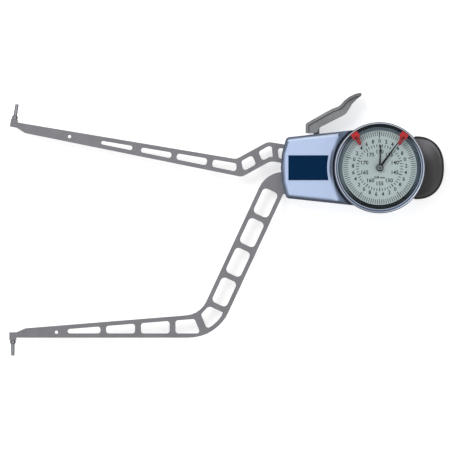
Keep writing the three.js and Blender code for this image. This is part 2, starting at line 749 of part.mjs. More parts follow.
function housingShell() {
  const outline = housingOutline(0);
  const wallTop = faceHigh - EDGE_ROUNDING;
  const body = slab(outline, COVER_THICKNESS, wallTop);
  const front = slab(outline, wallTop - 2 * EDGE_ROUNDING, faceHigh, [], EDGE_ROUNDING);
  const cavity = slab(housingOutline(HOUSING_WALL), COVER_THICKNESS - CUT_OVERRUN, wallLow);
  const coveProfile = [
    [0, recessFloor],
    [coveRadius - COVE_SLOPE_RUN, recessFloor],
    [coveRadius, faceHigh],
    [coveRadius, faceHigh + CUT_OVERRUN],
    [0, faceHigh + CUT_OVERRUN],
  ];
  const cove = seat(lathed(coveProfile, COVE_SIDES), point(COVE_CENTRE_X, 0));
  const well = rod(WELL_RADIUS, wallLow - CUT_OVERRUN, neckHigh + CUT_OVERRUN, LARGE_SIDES);
  const ledgeOuter = CASE_RADIUS - HOUSING_WALL + MERGE_OVERLAP;
  const ledgeOutline = sector(ledgeOuter - LEDGE_WIDTH, ledgeOuter, -LEDGE_SPAN, LEDGE_SPAN);
  const ledge = slab(ledgeOutline, ledgeLow, ledgeHigh);
  const bossTop = wallLow + MERGE_OVERLAP;
  const armBosses = armScrewPlaces.map((place) => seat(rod(BOSS_RADIUS, armHigh, bossTop), place));
  const pivotBoss = seat(rod(PIVOT_RADIUS + BUSH_WALL, shaftBossLow, bossTop, ROUND_SIDES), pivot);
  const leverBoss = seat(rod(LEVER_HUB_RADIUS, shaftBossLow, bossTop), leverPlace);
  const coverBosses = coverScrewPlaces.map((place) =>
    seat(rod(BOSS_RADIUS, COVER_THICKNESS, coverBossHigh), place),
  );
  const bossesAndTongue = [ledge, ...armBosses, pivotBoss, leverBoss, ...coverBosses, gripTongue(0)];

  const slotTop = pivot.y + UPPER_ROOT_HALF / Math.cos(ARM_REST_TILT);
  const slotRise = (pivot.x + housingReach) * Math.tan(ARM_REST_TILT);
  const armSlot = box(
    -housingReach - CUT_OVERRUN,
    -housingReach + COVER_SCREW_SETBACK,
    -LOWER_ROOT_BOTTOM - SEAT_GAP,
    slotTop + slotRise + SEAT_GAP,
    armLow - SEAT_GAP,
    armHigh + SEAT_GAP,
  );
  const wallOut = HOUSING_END_HALF + (LEVER_X + housingReach) * Math.tan(HOUSING_TAPER);
  const neckHalf = LEVER_NECK_WIDTH / 2;
  const neckReach = neckHalf / Math.cos(leverTravel) + (wallOut - LEVER_Y) * Math.tan(leverTravel);
  const leverSlot = box(
    LEVER_X - neckHalf - SEAT_GAP,
    LEVER_X + neckReach + FREE_GAP,
    wallOut - 2 * HOUSING_WALL,
    wallOut + CUT_OVERRUN,
    armLow - SEAT_GAP,
    armHigh + SEAT_GAP,
  );
  const holes = [
    ...drilled(screwHole, armHigh, wallLow, armScrewPlaces),
    ...drilled(screwHole, COVER_THICKNESS, coverBossHigh, coverScrewPlaces),
    ...drilled(screwHole, TONGUE_LOW, tongueHigh, gripScrewPlaces),
    ...drilled(smallScrewHole, ledgeLow, ledgeHigh, movementScrewPlaces),
    seat(rod(PIVOT_RADIUS + RUNNING_GAP, armHigh, wallLow, ROUND_SIDES), pivot),
    seat(rod(LEVER_SHAFT_RADIUS + RUNNING_GAP, armHigh, wallLow, ROUND_SIDES), leverPlace),
  ];
  const hollow = cut(joined(body, front), cavity, cove, well);
  return cut(joined(hollow, neckRing(), ...bossesAndTongue), armSlot, leverSlot, ...holes);
}

piece("housing_shell", housingShell(), housingBlue);

// Rear cover, its countersunk screws and the label plate on the face
const coverHoles = coverScrewPlaces.map((place) =>
  seat(countersink(RUNNING_GAP, -CUT_OVERRUN, COVER_THICKNESS + CUT_OVERRUN), place),
);
piece("rear_cover", cut(slab(housingOutline(0), 0, COVER_THICKNESS), ...coverHoles), coverGrey);
coverScrewPlaces.forEach((place, i) => {
  piece(`cover_screw_${i + 1}`, seat(countersink(0, RUNNING_GAP, coverBossHigh), place), darkSteel);
});

const labelLean = Math.asin(LABEL_HALF / LABEL_ARC);
const labelLeft = -housingReach + LABEL_SETBACK;
const labelOutline = [
  point(labelLeft, -LABEL_HALF),
  point(labelLeft, LABEL_HALF),
  ...arc(dialCentre, LABEL_ARC, Math.PI - labelLean, Math.PI + labelLean),
];
piece("label_plate", slab(labelOutline, faceHigh, faceHigh + LABEL_THICKNESS), labelNavy);

// Grip, a rounded block on the tongue of the housing
function gripOutline() {
  const bore = CASE_RADIUS + SEAT_GAP;
  const lean = Math.asin((GRIP_HALF - GRIP_ROUNDING) / bore);
  const steps = GRIP_STEPS;
  const round = Array.from({ length: steps + 1 }, (_, i) => {
    const angle = Math.PI / 2 - (Math.PI * i) / steps;
    const across = Math.cos(angle) ** (2 / GRIP_SQUARENESS);
    const up = Math.sign(angle) * Math.abs(Math.sin(angle)) ** (2 / GRIP_SQUARENESS);
    return point(GRIP_SHOULDER + (GRIP_REACH - GRIP_SHOULDER) * across, GRIP_HALF * up);
  });
  return [...round, ...arc(dialCentre, bore, -lean, lean)];
}

function grip() {
  const low = GRIP_LOW;
  const block = slab(gripOutline(), low, low + GRIP_THICKNESS, [], GRIP_ROUNDING);
  const headHole = SCREW_HEAD_RADIUS + SEAT_GAP;
  const headRoom = gripScrewPlaces.map((place) => seat(rod(headHole, 0, gripSeat), place));
  const shankRoom = gripScrewPlaces.map((place) => seat(rod(screwHole + SEAT_GAP, 0, TONGUE_LOW), place));
  return cut(block, gripTongue(SEAT_GAP), ...headRoom, ...shankRoom);
}

piece("grip", grip(), gripBlack);
gripScrewPlaces.forEach((place, i) => {
  const screw = headedScrew(gripSeat - SCREW_HEAD_HEIGHT, tongueHigh);
  piece(`grip_screw_${i + 1}`, seat(screw, place), darkSteel);
});

// Arm ends and pockets. toBody is 1 where the arm's body lies above its straight outer edge, -1 where below.
function armEnd(end, outer, toBody, innerEdge) {
  const blockOut = outer - toBody * END_BLOCK_STEP;
  const blockIn = blockOut + toBody * END_BLOCK_HEIGHT;
  const noseFoot = line(point(end + NOSE_LENGTH, outer), Math.PI / 2);
  return [
    [point(end + END_BLOCK_LENGTH, outer), 0],
    [point(end + END_BLOCK_LENGTH, blockOut), 0],
    [point(end, blockOut), 0],
    [point(end, blockIn), 0],
    [point(end + END_BLOCK_LENGTH, blockIn), NOSE_RADIUS],
    [meet(innerEdge, noseFoot), NOSE_RADIUS],
  ];
}

function upright(x) {
  return line(point(x, 0), Math.PI / 2);
}

function bay(outer, inner, left, right) {
  const corners = [meet(outer, left), meet(outer, right), meet(inner, right), meet(inner, left)];
  return evenly(corners, POCKET_RADIUS);
}

function contactBore(end, outer, toBody) {
  const mouth = outer - toBody * END_BLOCK_STEP;
  const bore = rod(CONTACT_SHANK_RADIUS + RUNNING_GAP, -CUT_OVERRUN, CONTACT_SHANK_LENGTH + SEAT_GAP);
  return bore.rotateX((-toBody * Math.PI) / 2).translate(end + END_BLOCK_LENGTH / 2, mouth, armMiddle);
}

function contactPin(end, outer, toBody) {
  const mouth = outer - toBody * END_BLOCK_STEP;
  const profile = [
    [0, -CONTACT_SHANK_LENGTH],
    [CONTACT_SHANK_RADIUS, -CONTACT_SHANK_LENGTH],
    [CONTACT_SHANK_RADIUS, RUNNING_GAP],
    [CONTACT_COLLAR_RADIUS, RUNNING_GAP],
    [CONTACT_COLLAR_END_RADIUS, CONTACT_COLLAR_LENGTH],
    [CONTACT_PIN_RADIUS, CONTACT_COLLAR_LENGTH],
    [CONTACT_PIN_TIP_RADIUS, contactTip - CONTACT_TIP_ROUND],
    [CONTACT_PIN_TIP_RADIUS - CONTACT_TIP_ROUND, contactTip],
    [0, contactTip],
  ];
  const pin = lathed(profile, SMALL_SIDES).rotateX((toBody * Math.PI) / 2);
  return pin.translate(end + END_BLOCK_LENGTH / 2, mouth, armMiddle);
}

// Fixed arm, in the frame of the gauge
function lowerArm() {
  const end = -LOWER_LENGTH;
  const outerEdge = line(point(0, -LOWER_DROP), 0);
  const innerEdge = line(point(end + NOSE_LENGTH, -LOWER_DROP + LOWER_NOSE_DEPTH), LOWER_INNER_TAPER);
  const rootTop = line(point(0, -LOWER_ROOT_TOP), 0);
  const rootBottom = line(point(0, -LOWER_ROOT_BOTTOM), 0);
  const crankLeft = line(point(-LOWER_SHOULDER, -LOWER_ROOT_TOP), LOWER_CRANK_ANGLE);
  const crankRight = shifted(crankLeft, -LOWER_CRANK_WIDTH);
  const outline = rounded([
    [meet(outerEdge, crankRight), LOWER_OUTER_RADIUS],
    [meet(crankRight, rootBottom), 0],
    [point(-LOWER_ROOT_END, -LOWER_ROOT_BOTTOM), NOSE_RADIUS],
    [point(-LOWER_ROOT_END, -LOWER_ROOT_TOP), NOSE_RADIUS],
    [meet(rootTop, crankLeft), LOWER_ROOT_RADIUS],
    [meet(crankLeft, innerEdge), LOWER_INNER_RADIUS],
    ...armEnd(end, -LOWER_DROP, 1, innerEdge).reverse(),
  ]);

  const outerRail = shifted(outerEdge, RAIL);
  const innerRail = shifted(innerEdge, -RAIL);
  const ribX = meet(outerEdge, crankLeft).x + ELBOW_RIB_SETBACK;
  const ribPlace = point(ribX, -LOWER_DROP + ELBOW_RIB_HEIGHT);
  const holeX = end + LOWER_HOLE_SETBACK;
  const ribAt = (share) => upright(holeX + share * (ribX - holeX));
  const pockets = LOWER_POCKET_SHARES.map(([from, to]) => bay(outerRail, innerRail, ribAt(from), ribAt(to)));
  const rib = line(ribPlace, ELBOW_RIB_ANGLE);
  const ribLeft = shifted(rib, ELBOW_RIB_WIDTH / 2);
  const ribRight = shifted(line(ribPlace, ELBOW_RIB_ANGLE + Math.PI), ELBOW_RIB_WIDTH / 2);
  pockets.push(bay(outerRail, innerRail, ribAt(LOWER_LAST_POCKET_SHARE), ribLeft));

  const onCrank = (along, across) =>
    polar(across, LOWER_CRANK_ANGLE + Math.PI / 2, polar(-along, LOWER_CRANK_ANGLE, crankLeft.at));
  const middle = -LOWER_CRANK_WIDTH / 2;
  const halfWidth = LOWER_CRANK_WIDTH / 2 - RAIL;
  for (let i = 0; i < CRANK_POCKETS; i += 1) {
    const start = CRANK_POCKET_START + i * CRANK_POCKET_PITCH;
    const corners = [
      onCrank(start, middle - halfWidth),
      onCrank(start, middle + halfWidth),
      onCrank(start + CRANK_POCKET_LENGTH, middle + halfWidth),
      onCrank(start + CRANK_POCKET_LENGTH, middle - halfWidth),
    ];
    pockets.push(evenly(corners, CRANK_POCKET_RADIUS));
  }

  const lastStart = CRANK_POCKET_START + CRANK_POCKETS * CRANK_POCKET_PITCH;
  const outerCentre = meet(shifted(outerEdge, LOWER_OUTER_RADIUS), shifted(crankRight, LOWER_OUTER_RADIUS));
  const innerCentre = meet(shifted(innerEdge, LOWER_INNER_RADIUS), shifted(crankLeft, LOWER_INNER_RADIUS));
  const arcRadius = LOWER_OUTER_RADIUS - RAIL;
  const arcStart = meetCircle(ribRight, outerCentre, arcRadius);
  const arcFrom = Math.atan2(arcStart.y - outerCentre.y, arcStart.x - outerCentre.x);
  const arcPoints = arc(outerCentre, arcRadius, arcFrom, LOWER_CRANK_ANGLE - Math.PI / 2);
  pockets.push(
    rounded([
      [arcPoints[0], POCKET_RADIUS],
      ...arcPoints.slice(1).map((corner) => [corner, 0]),
      [onCrank(lastStart, middle - halfWidth), POCKET_RADIUS],
      [onCrank(lastStart, middle + halfWidth), CRANK_POCKET_RADIUS],
      [meetCircle(ribRight, innerCentre, LOWER_INNER_RADIUS + RAIL), POCKET_RADIUS],
    ]),
  );

  const holePlace = point(holeX, -LOWER_DROP + END_BLOCK_HEIGHT - END_BLOCK_STEP);
  const holes = armScrewPlaces.map((place) => circle(screwHole, place));
  const plate = slab(outline, armLow, armHigh, [...pockets, ...holes, circle(GAUGE_HOLE_RADIUS, holePlace)]);
  return cut(plate, contactBore(end, -LOWER_DROP, 1));
}

piece("lower_arm", lowerArm(), armGrey);
piece("lower_contact_pin", contactPin(-LOWER_LENGTH, -LOWER_DROP, 1), brightSteel);
armScrewPlaces.forEach((place, i) => {
  const screw = headedScrew(armLow - SCREW_HEAD_HEIGHT, wallLow + FREE_GAP);
  piece(`arm_screw_${i + 1}`, seat(screw, place), darkSteel);
});

// Moving arm, in its own frame with the pivot at the origin
const earHeading = leverHeading + ARM_REST_TILT - ARM_TRAVEL / 2;
const contactHeading = TRAIN_ANGLE + ARM_REST_TILT;
const sectorHeading = contactHeading - ARM_TRAVEL / 2;
const sectorScrewPlaces = SECTOR_SCREW_SHARES.map((share) => polar(share * TAIL_LENGTH, sectorHeading));
const hookPlace = point(HOOK_SHARES[0] * TAIL_LENGTH, HOOK_SHARES[1] * TAIL_HALF);
const bushBore = PIVOT_RADIUS + RUNNING_GAP;

function upperArm() {
  const end = -UPPER_LENGTH;
  const outerEdge = line(point(0, -UPPER_EDGE_DROP), 0);
  const innerEdge = line(point(end + NOSE_LENGTH, -UPPER_EDGE_DROP - UPPER_NOSE_DEPTH), -UPPER_INNER_TAPER);
  const rootTop = line(point(0, UPPER_ROOT_HALF), 0);
  const rootBottom = line(point(0, -UPPER_ROOT_HALF), 0);
  const crankTop = line(point(-UPPER_ELBOW, -UPPER_EDGE_DROP), UPPER_CRANK_ANGLE);
  const crankBottom = shifted(crankTop, -UPPER_CRANK_WIDTH);
  const outline = rounded([
    [point(0, -UPPER_ROOT_HALF), 0],
    [point(0, UPPER_ROOT_HALF), 0],
    [meet(rootTop, crankTop), UPPER_ROOT_RADIUS],
    [crankTop.at, UPPER_ELBOW_RADIUS],
    ...armEnd(end, -UPPER_EDGE_DROP, -1, innerEdge),
    [meet(innerEdge, crankBottom), UPPER_ELBOW_RADIUS],
    [meet(crankBottom, rootBottom), UPPER_ROOT_RADIUS],
  ]);

  const outerRail = shifted(outerEdge, -RAIL);
  const innerRail = shifted(innerEdge, RAIL);
  const lastRib = UPPER_POCKET_SHARES.length - 1;
  const holeX = end + UPPER_HOLE_SETBACK;
  const alongEdge = (share) => holeX + share * (crankTop.at.x - holeX);
  const pockets = UPPER_POCKET_SHARES.map(([from, to], i) => {
    const right = point(alongEdge(to), (outerEdge.at.y + innerEdge.at.y) / 2);
    const rib = line(right, i === lastRib ? UPPER_LAST_RIB_ANGLE : Math.PI / 2);
    return bay(outerRail, innerRail, upright(alongEdge(from)), rib);
  });
  const topRail = shifted(crankTop, -RAIL);
  const bottomRail = shifted(crankBottom, RAIL);
  const rootTopRail = shifted(rootTop, -RAIL);
  const rootBottomRail = shifted(rootBottom, RAIL);
  const crankMiddle = shifted(crankTop, -UPPER_CRANK_WIDTH / 2);
  const ribStarts = [UPPER_CRANK_POCKET_START, UPPER_CRANK_POCKET_END, UPPER_SHOULDER_START];
  const [elbowSide, ribNear, ribFar] = ribStarts.map((start, i) =>
    line(polar(start, UPPER_CRANK_ANGLE, crankMiddle.at), UPPER_CRANK_RIB_ANGLES[i]),
  );
  pockets.push(bay(topRail, bottomRail, elbowSide, ribNear));
  const rootRib = line(point(-UPPER_ROOT_RIB, 0), UPPER_ROOT_RIB_ANGLE);
  const rootRibLeft = shifted(rootRib, -UPPER_ROOT_RIB_WIDTH / 2);
  const rootRibRight = shifted(rootRib, UPPER_ROOT_RIB_WIDTH / 2);
  const shoulder = [
    meet(topRail, ribFar),
    meet(topRail, rootTopRail),
    meet(rootTopRail, rootRibLeft),
    meet(rootRibLeft, rootBottomRail),
    meet(rootBottomRail, bottomRail),
    meet(bottomRail, ribFar),
  ];
  pockets.push(evenly(shoulder, POCKET_RADIUS));
  pockets.push(bay(rootTopRail, rootBottomRail, rootRibRight, upright(-HUB_RADIUS - POCKET_RADIUS)));

  const holePlace = point(holeX, -UPPER_EDGE_DROP - END_BLOCK_HEIGHT + END_BLOCK_STEP);
  const plate = slab(outline, armLow, armHigh, [...pockets, circle(GAUGE_HOLE_RADIUS, holePlace)]);
  const hub = rod(HUB_RADIUS, armLow, armHigh, ROUND_SIDES);
  const tail = slab(
    turnedAbout(tailOutline(TAIL_LENGTH, TAIL_HALF), sectorHeading),
    armLow,
    armHigh,
  );
  const earEnd = earRadius + DRIVE_PIN_RADIUS + FREE_GAP;
  const ear = slab(turnedAbout(tailOutline(earEnd, EAR_HALF), earHeading), armLow, armHigh);
  const slotHalf = DRIVE_PIN_RADIUS + RUNNING_GAP;
  const slotEnd = earRadius - FREE_GAP;
  const slotOutline = [
    ...arc(point(slotEnd, 0), slotHalf, (3 * Math.PI) / 2, Math.PI / 2),
    point(earEnd + CUT_OVERRUN, slotHalf),
    point(earEnd + CUT_OVERRUN, -slotHalf),
  ];
  const slot = slab(turnedAbout(slotOutline, earHeading), armLow - CUT_OVERRUN, armHigh + CUT_OVERRUN);
  const bore = drilled(bushBore + BUSH_WALL + RUNNING_GAP, armLow, armHigh, [dialCentre], ROUND_SIDES);
  const screwHoles = drilled(smallScrewHole, armLow, armHigh, sectorScrewPlaces);
  const pinBore = contactBore(end, -UPPER_EDGE_DROP, -1);
  return cut(joined(plate, hub, tail, ear), pinBore, slot, ...bore, ...screwHoles);
}

function tailOutline(length, half) {
  return rounded([
    [point(0, -half), 0],
    [point(length, -half), half / 2],
    [point(length, half), half / 2],
    [point(0, half), 0],
  ]);
}

function gearSector() {
  const half = ARM_TRAVEL / 2 + SECTOR_SPARE;
  const pitch = (2 * Math.PI) / SECTOR_TEETH;
  const first = Math.ceil((sectorHeading - half - contactHeading) / pitch);
  const last = Math.floor((sectorHeading + half - contactHeading) / pitch);
  const root = sectorRadius - DEDENDUM_SHARE * SECTOR_MODULE;
  const from = contactHeading + (first - TOOTH_ROOT_SHARE) * pitch;
  const to = contactHeading + (last + TOOTH_ROOT_SHARE) * pitch;
  const rimInner = root - SECTOR_RIM;
  const start = [point(SECTOR_START, SECTOR_WEB_HALF), point(SECTOR_START, -SECTOR_WEB_HALF)];
  const outline = [
    ...turnedAbout(start, sectorHeading),
    polar(rimInner, from),
    polar(root, from),
    ...teeth(SECTOR_TEETH, SECTOR_MODULE, contactHeading, first, last),
    polar(root, to),
    polar(rimInner, to),
  ];
  const [windowNear, windowFar] = SECTOR_WINDOW_SHARES.map((share) => share * sectorRadius);
  const rimSpread = rimInner * Math.tan(half) - SECTOR_WEB_HALF;
  const spread = (distance) => SECTOR_WEB_HALF - SECTOR_RAIL + (rimSpread * distance) / rimInner;
  const windowCorners = [
    point(windowNear, -spread(windowNear)),
    point(windowFar, -spread(windowFar)),
    point(windowFar, spread(windowFar)),
    point(windowNear, spread(windowNear)),
  ];
  const window = turnedAbout(evenly(windowCorners, SECTOR_WEB_HALF / 4), sectorHeading);
  const screwHoles = sectorScrewPlaces.map((place) => circle(smallScrewHole, place));
  return slab(outline, armHigh, sectorHigh, [window, ...screwHoles]);
}

piece("upper_arm", upperArm(), armGrey, movingArm);
piece("upper_contact_pin", contactPin(-UPPER_LENGTH, -UPPER_EDGE_DROP, -1), brightSteel, movingArm);
const bush = ring(bushBore, bushBore + BUSH_WALL, armLow - RUNNING_GAP, armHigh + RUNNING_GAP, ROUND_SIDES);
piece("pivot_bush", bush, bronze, movingArm);
piece("gear_sector", gearSector(), brass, movingArm);
sectorScrewPlaces.forEach((place, i) => {
  const screw = smallScrew(armLow + FREE_GAP, sectorHigh);
  piece(`sector_screw_${i + 1}`, seat(screw, place), darkSteel, movingArm);
});
piece("spring_hook_pin", seat(rod(HOOK_PIN_RADIUS, springPinLow, armLow), hookPlace), brightSteel, movingArm);

// Pivot shaft, stop pin and lever shaft stand in the housing
function shoulderedShaft(radius, collar, collarLow, collarHigh) {
  const profile = [
    [0, COVER_THICKNESS],
    [radius, COVER_THICKNESS],
    [radius, collarLow],
    [collar, collarLow],
    [collar, collarHigh],
    [radius, collarHigh],
    [radius, wallLow],
    [0, wallLow],
  ];
  return lathed(profile, ROUND_SIDES);
}

const pivotCollarHigh = armLow - SEAT_GAP;
const pivotCollarLow = pivotCollarHigh - SECTOR_THICKNESS;
const pivotShaft = shoulderedShaft(PIVOT_RADIUS, PIVOT_RADIUS + BUSH_WALL, pivotCollarLow, pivotCollarHigh);
piece("pivot_shaft", seat(pivotShaft, pivot), brightSteel);
const stopReach = TAIL_HALF + SEAT_GAP + STOP_PIN_RADIUS;
const stopFoot = polar(STOP_SHARE * TAIL_LENGTH, sectorHeading);
const stopInArm = polar(stopReach, sectorHeading - Math.PI / 2, stopFoot);
const stopPlace = turnedAbout([stopInArm], -ARM_REST_TILT)[0].add(pivot);
piece("stop_pin", seat(rod(STOP_PIN_RADIUS, armLow + SEAT_GAP, wallLow), stopPlace), brightSteel);
const leverCollarLow = COVER_THICKNESS + SEAT_GAP;
const leverShaft = shoulderedShaft(LEVER_SHAFT_RADIUS, LEVER_HUB_RADIUS, leverCollarLow, leverLow - SEAT_GAP);
piece("lever_shaft", seat(leverShaft, leverPlace), brightSteel);

// Press lever, in its own frame with its shaft at the origin
const drivePinPlace = polar(LEVER_CRANK, leverHeading + Math.PI + leverTravel / 2);

function leverPoint([along, up]) {
  return point(-LEVER_HEEL + along * LEVER_LENGTH, LEVER_FOOT_HEIGHT + up * LEVER_RISE);
}

// A path moved sideways, to the left of its direction when distance is positive.
function beside(path, distance) {
  const edges = path.slice(1).map((next, i) => {
    const heading = Math.atan2(next.y - path[i].y, next.x - path[i].x);
    return shifted(line(path[i], heading), distance);
  });
  const inner = edges.slice(1).map((edge, i) => meet(edges[i], edge));
  const last = edges[edges.length - 1];
  const end = path[path.length - 1];
  return [edges[0].at, ...inner, polar(distance, last.angle + Math.PI / 2, end)];
}

function pressLever() {
  const top = LEVER_TOP_SHARES.map(leverPoint);
  const under = LEVER_UNDER_SHARES.map(leverPoint);
  const crease = beside(top, -LEVER_STRAP);
  const strapHalf = LEVER_WIDTH / 2;
  const wallOut = strapHalf - LEVER_INSET;
  const wallIn = wallOut - LEVER_SIDE_WALL;
  const strap = slab([...top, under[0], ...crease.reverse()], armMiddle - strapHalf, armMiddle + strapHalf);
  const walls = [
    slab([...top, ...under], armMiddle - wallOut, armMiddle - wallIn),
    slab([...top, ...under], armMiddle + wallIn, armMiddle + wallOut),
  ];
  const half = LEVER_NECK_WIDTH / 2;
  const back = line(top[2], Math.atan2(top[3].y - top[2].y, top[3].x - top[2].x));
  const backMiddle = shifted(back, -LEVER_STRAP / 2);
  const neck = slab(
    [point(-half, 0), point(half, 0), meet(backMiddle, upright(half)), meet(backMiddle, upright(-half))],
    armLow,
    armHigh,
  );
  const hub = rod(LEVER_HUB_RADIUS, leverLow, armHigh, ROUND_SIDES);
  const crankOutline = link(dialCentre, LEVER_HUB_RADIUS, drivePinPlace, LEVER_CRANK_HALF);
  const crank = slab(crankOutline, leverLow, leverCrankHigh);
  const bore = drilled(LEVER_SHAFT_RADIUS + RUNNING_GAP, leverLow, armHigh, [dialCentre], ROUND_SIDES);
  return cut(joined(strap, ...walls, neck, hub, crank), ...bore);
}

piece("press_lever", pressLever(), leverGrey, lever);
const drivePin = rod(DRIVE_PIN_RADIUS, leverCrankHigh, armHigh - SEAT_GAP);
piece("lever_drive_pin", seat(drivePin, drivePinPlace), brightSteel, lever);

// Return spring between the hook pin on the arm's tail and a post in the housing
const hookAtRest = turnedAbout([hookPlace], -ARM_REST_TILT)[0].add(pivot);
const postPlace = point(hookAtRest.x + SPRING_POST_RUN, hookAtRest.y - SPRING_POST_DROP);
piece("spring_post", seat(rod(HOOK_PIN_RADIUS, springPinLow, wallLow), postPlace), brightSteel);

function springPath() {
  const length = hookAtRest.distanceTo(postPlace);
  const loop = HOOK_PIN_RADIUS + SPRING_WIRE / 2 + SEAT_GAP;
  const lead = loop + SPRING_PITCH;
  const turns = Math.round((length - 2 * lead) / SPRING_PITCH);
  const path = [];
  const onLoop = (middle, angle) => {
    const place = polar(loop, angle, middle);
    path.push(new THREE.Vector3(place.x, place.y, 0));
  };
  const loopSteps = (3 * SPRING_STEPS) / 4;
  const step = (2 * Math.PI) / SPRING_STEPS;
  for (let i = 0; i < loopSteps; i += 1) {
    onLoop(dialCentre, (i - loopSteps) * step);
  }
  for (let i = 0; i <= turns * SPRING_STEPS; i += 1) {
    const section = polar(SPRING_COIL_RADIUS, i * step);
    const along = lead + ((length - 2 * lead) * i) / (turns * SPRING_STEPS);
    path.push(new THREE.Vector3(along, section.x, section.y));
  }
  for (let i = 1; i <= loopSteps; i += 1) {
    onLoop(point(length, 0), Math.PI - i * step);
  }
  return path;
}

// The least distance between two coils of the wire, from surface to surface.
function leastSpringGap(path) {
  let least = Infinity;
  path.forEach((here, i) => {
    path.slice(i + SPRING_STEPS / 2).forEach((there) => {
      least = Math.min(least, here.distanceTo(there) - SPRING_WIRE);
    });
  });
  return least;
}

function returnSpring() {
  const path = springPath();
  console.log(`return spring: least gap between coils ${leastSpringGap(path).toFixed(2)} mm`);
  const shape = new THREE.Shape(circle(SPRING_WIRE / 2, point(0, 0), SPRING_WIRE_SIDES));
  const wire = new THREE.ExtrudeGeometry(shape, {
    steps: path.length - 1,
    extrudePath: new THREE.CatmullRomCurve3(path),
  });
  const heading = Math.atan2(postPlace.y - hookAtRest.y, postPlace.x - hookAtRest.x);
  return seat(wire.rotateZ(heading), hookAtRest, springMiddle);
}

piece("return_spring", returnSpring(), darkSteel);

// Movement plate, pillars and bridge
const plateRadius = WELL_RADIUS - SEAT_GAP;
const pivotHole = PIVOT_TIP_RADIUS + RUNNING_GAP;
const tubeBore = CENTRE_ARBOR_RADIUS + RUNNING_GAP;
const tubeRadius = tubeBore + COUNTER_TUBE_WALL;
const plateHoles = [
  circle(pivotHole, dialCentre),
  circle(pivotHole, firstPlace),
  ...movementScrewPlaces.map((place) => circle(smallScrewHole, place)),
];
const plateOutline = circle(plateRadius, dialCentre, LARGE_SIDES);
piece("movement_plate", slab(plateOutline, ledgeHigh, plateHigh, plateHoles), brass);
movementScrewPlaces.forEach((place, i) => {
  piece(`movement_screw_${i + 1}`, seat(smallScrew(ledgeLow + RUNNING_GAP, plateHigh), place), darkSteel);
});
pillarPlaces.forEach((place, i) => {
  piece(`movement_pillar_${i + 1}`, seat(rod(PILLAR_RADIUS, plateHigh, bridgeLow), place), brass);
});

function bridgeOutline() {
  const edges = pillarPlaces.map((place, i) => {
    const next = pillarPlaces[(i + 1) % pillarPlaces.length];
    return shifted(line(place, Math.atan2(next.y - place.y, next.x - place.x)), -BRIDGE_EYE);
  });
  const corners = edges.map((edge, i) => meet(edges[(i + edges.length - 1) % edges.length], edge));
  return evenly(corners, BRIDGE_EYE);
}

const bridgeHoles = [circle(tubeRadius + RUNNING_GAP, dialCentre), circle(pivotHole, firstPlace)];
piece("movement_bridge", slab(bridgeOutline(), bridgeLow, bridgeHigh, bridgeHoles), brass);

// First arbor: pinion, transfer wheel and counter drive gear
const halfPinionPitch = Math.PI / PINION_TEETH;
const towardsPivot = TRAIN_ANGLE + Math.PI;

function firstArbor() {
  const colletHigh = plateHigh + FREE_GAP + HAIRSPRING_WIDTH + FREE_GAP;
  const shoulderLow = wheelLow - SEAT_GAP;
  const profile = [
    [0, ledgeHigh + RUNNING_GAP],
    [PIVOT_TIP_RADIUS, ledgeHigh + RUNNING_GAP],
    [PIVOT_TIP_RADIUS, plateHigh + RUNNING_GAP],
    [COLLET_RADIUS, plateHigh + RUNNING_GAP],
    [COLLET_RADIUS, colletHigh],
    [ARBOR_RADIUS, colletHigh],
    [ARBOR_RADIUS, shoulderLow],
    [2 * ARBOR_RADIUS, shoulderLow],
    [2 * ARBOR_RADIUS, wheelLow],
    [ARBOR_RADIUS, wheelLow],
    [ARBOR_RADIUS, bridgeLow - RUNNING_GAP],
    [PIVOT_TIP_RADIUS, bridgeLow - RUNNING_GAP],
    [PIVOT_TIP_RADIUS, bridgeHigh],
    [0, bridgeHigh],
  ];
  const pinion = teeth(PINION_TEETH, SECTOR_MODULE, towardsPivot + halfPinionPitch);
  return joined(lathed(profile, SMALL_SIDES), slab(pinion, armHigh - SEAT_GAP, sectorHigh + SEAT_GAP));
}

function transferWheel() {
  const rim = (TRANSFER_TEETH * TRANSFER_MODULE) / 2 - TRANSFER_RIM;
  const eye = 2 * ARBOR_RADIUS + TRANSFER_SPOKE;
  const windows = Array.from({ length: TRANSFER_SPOKES }, (_, i) => {
    const middle = (2 * Math.PI * i) / TRANSFER_SPOKES;
    const outerLean = Math.PI / TRANSFER_SPOKES - Math.asin(TRANSFER_SPOKE / 2 / rim);
    const innerLean = Math.PI / TRANSFER_SPOKES - Math.asin(TRANSFER_SPOKE / 2 / eye);
    return [
      ...arc(dialCentre, rim, middle - outerLean, middle + outerLean),
      ...arc(dialCentre, eye, middle + innerLean, middle - innerLean),
    ];
  });
  const outline = teeth(TRANSFER_TEETH, TRANSFER_MODULE, TRAIN_ANGLE);
  return slab(outline, wheelLow, wheelHigh, [circle(ARBOR_RADIUS + RUNNING_GAP), ...windows]);
}

function counterDriveGear() {
  const bore = ARBOR_RADIUS + RUNNING_GAP;
  const gear = slab(teeth(COUNTER_TEETH, counterModule, TRAIN_ANGLE), counterLow, counterHigh);
  const hub = rod(2 * ARBOR_RADIUS, wheelHigh + RUNNING_GAP, counterLow + MERGE_OVERLAP);
  return cut(joined(gear, hub), rod(bore, wheelLow, bridgeLow));
}

piece("first_arbor", firstArbor(), brightSteel, firstBody);
piece("transfer_wheel", transferWheel(), brass, firstBody);
piece("counter_drive_gear", counterDriveGear(), brass, firstBody);

// Hairspring round the first arbor, a flat spiral that ends at a stud on the movement plate
const spiralStart = COLLET_RADIUS + SEAT_GAP;
const spiralEnd = spiralStart + HAIRSPRING_TURNS * HAIRSPRING_PITCH;
const spiralSweep = 2 * Math.PI * HAIRSPRING_TURNS;

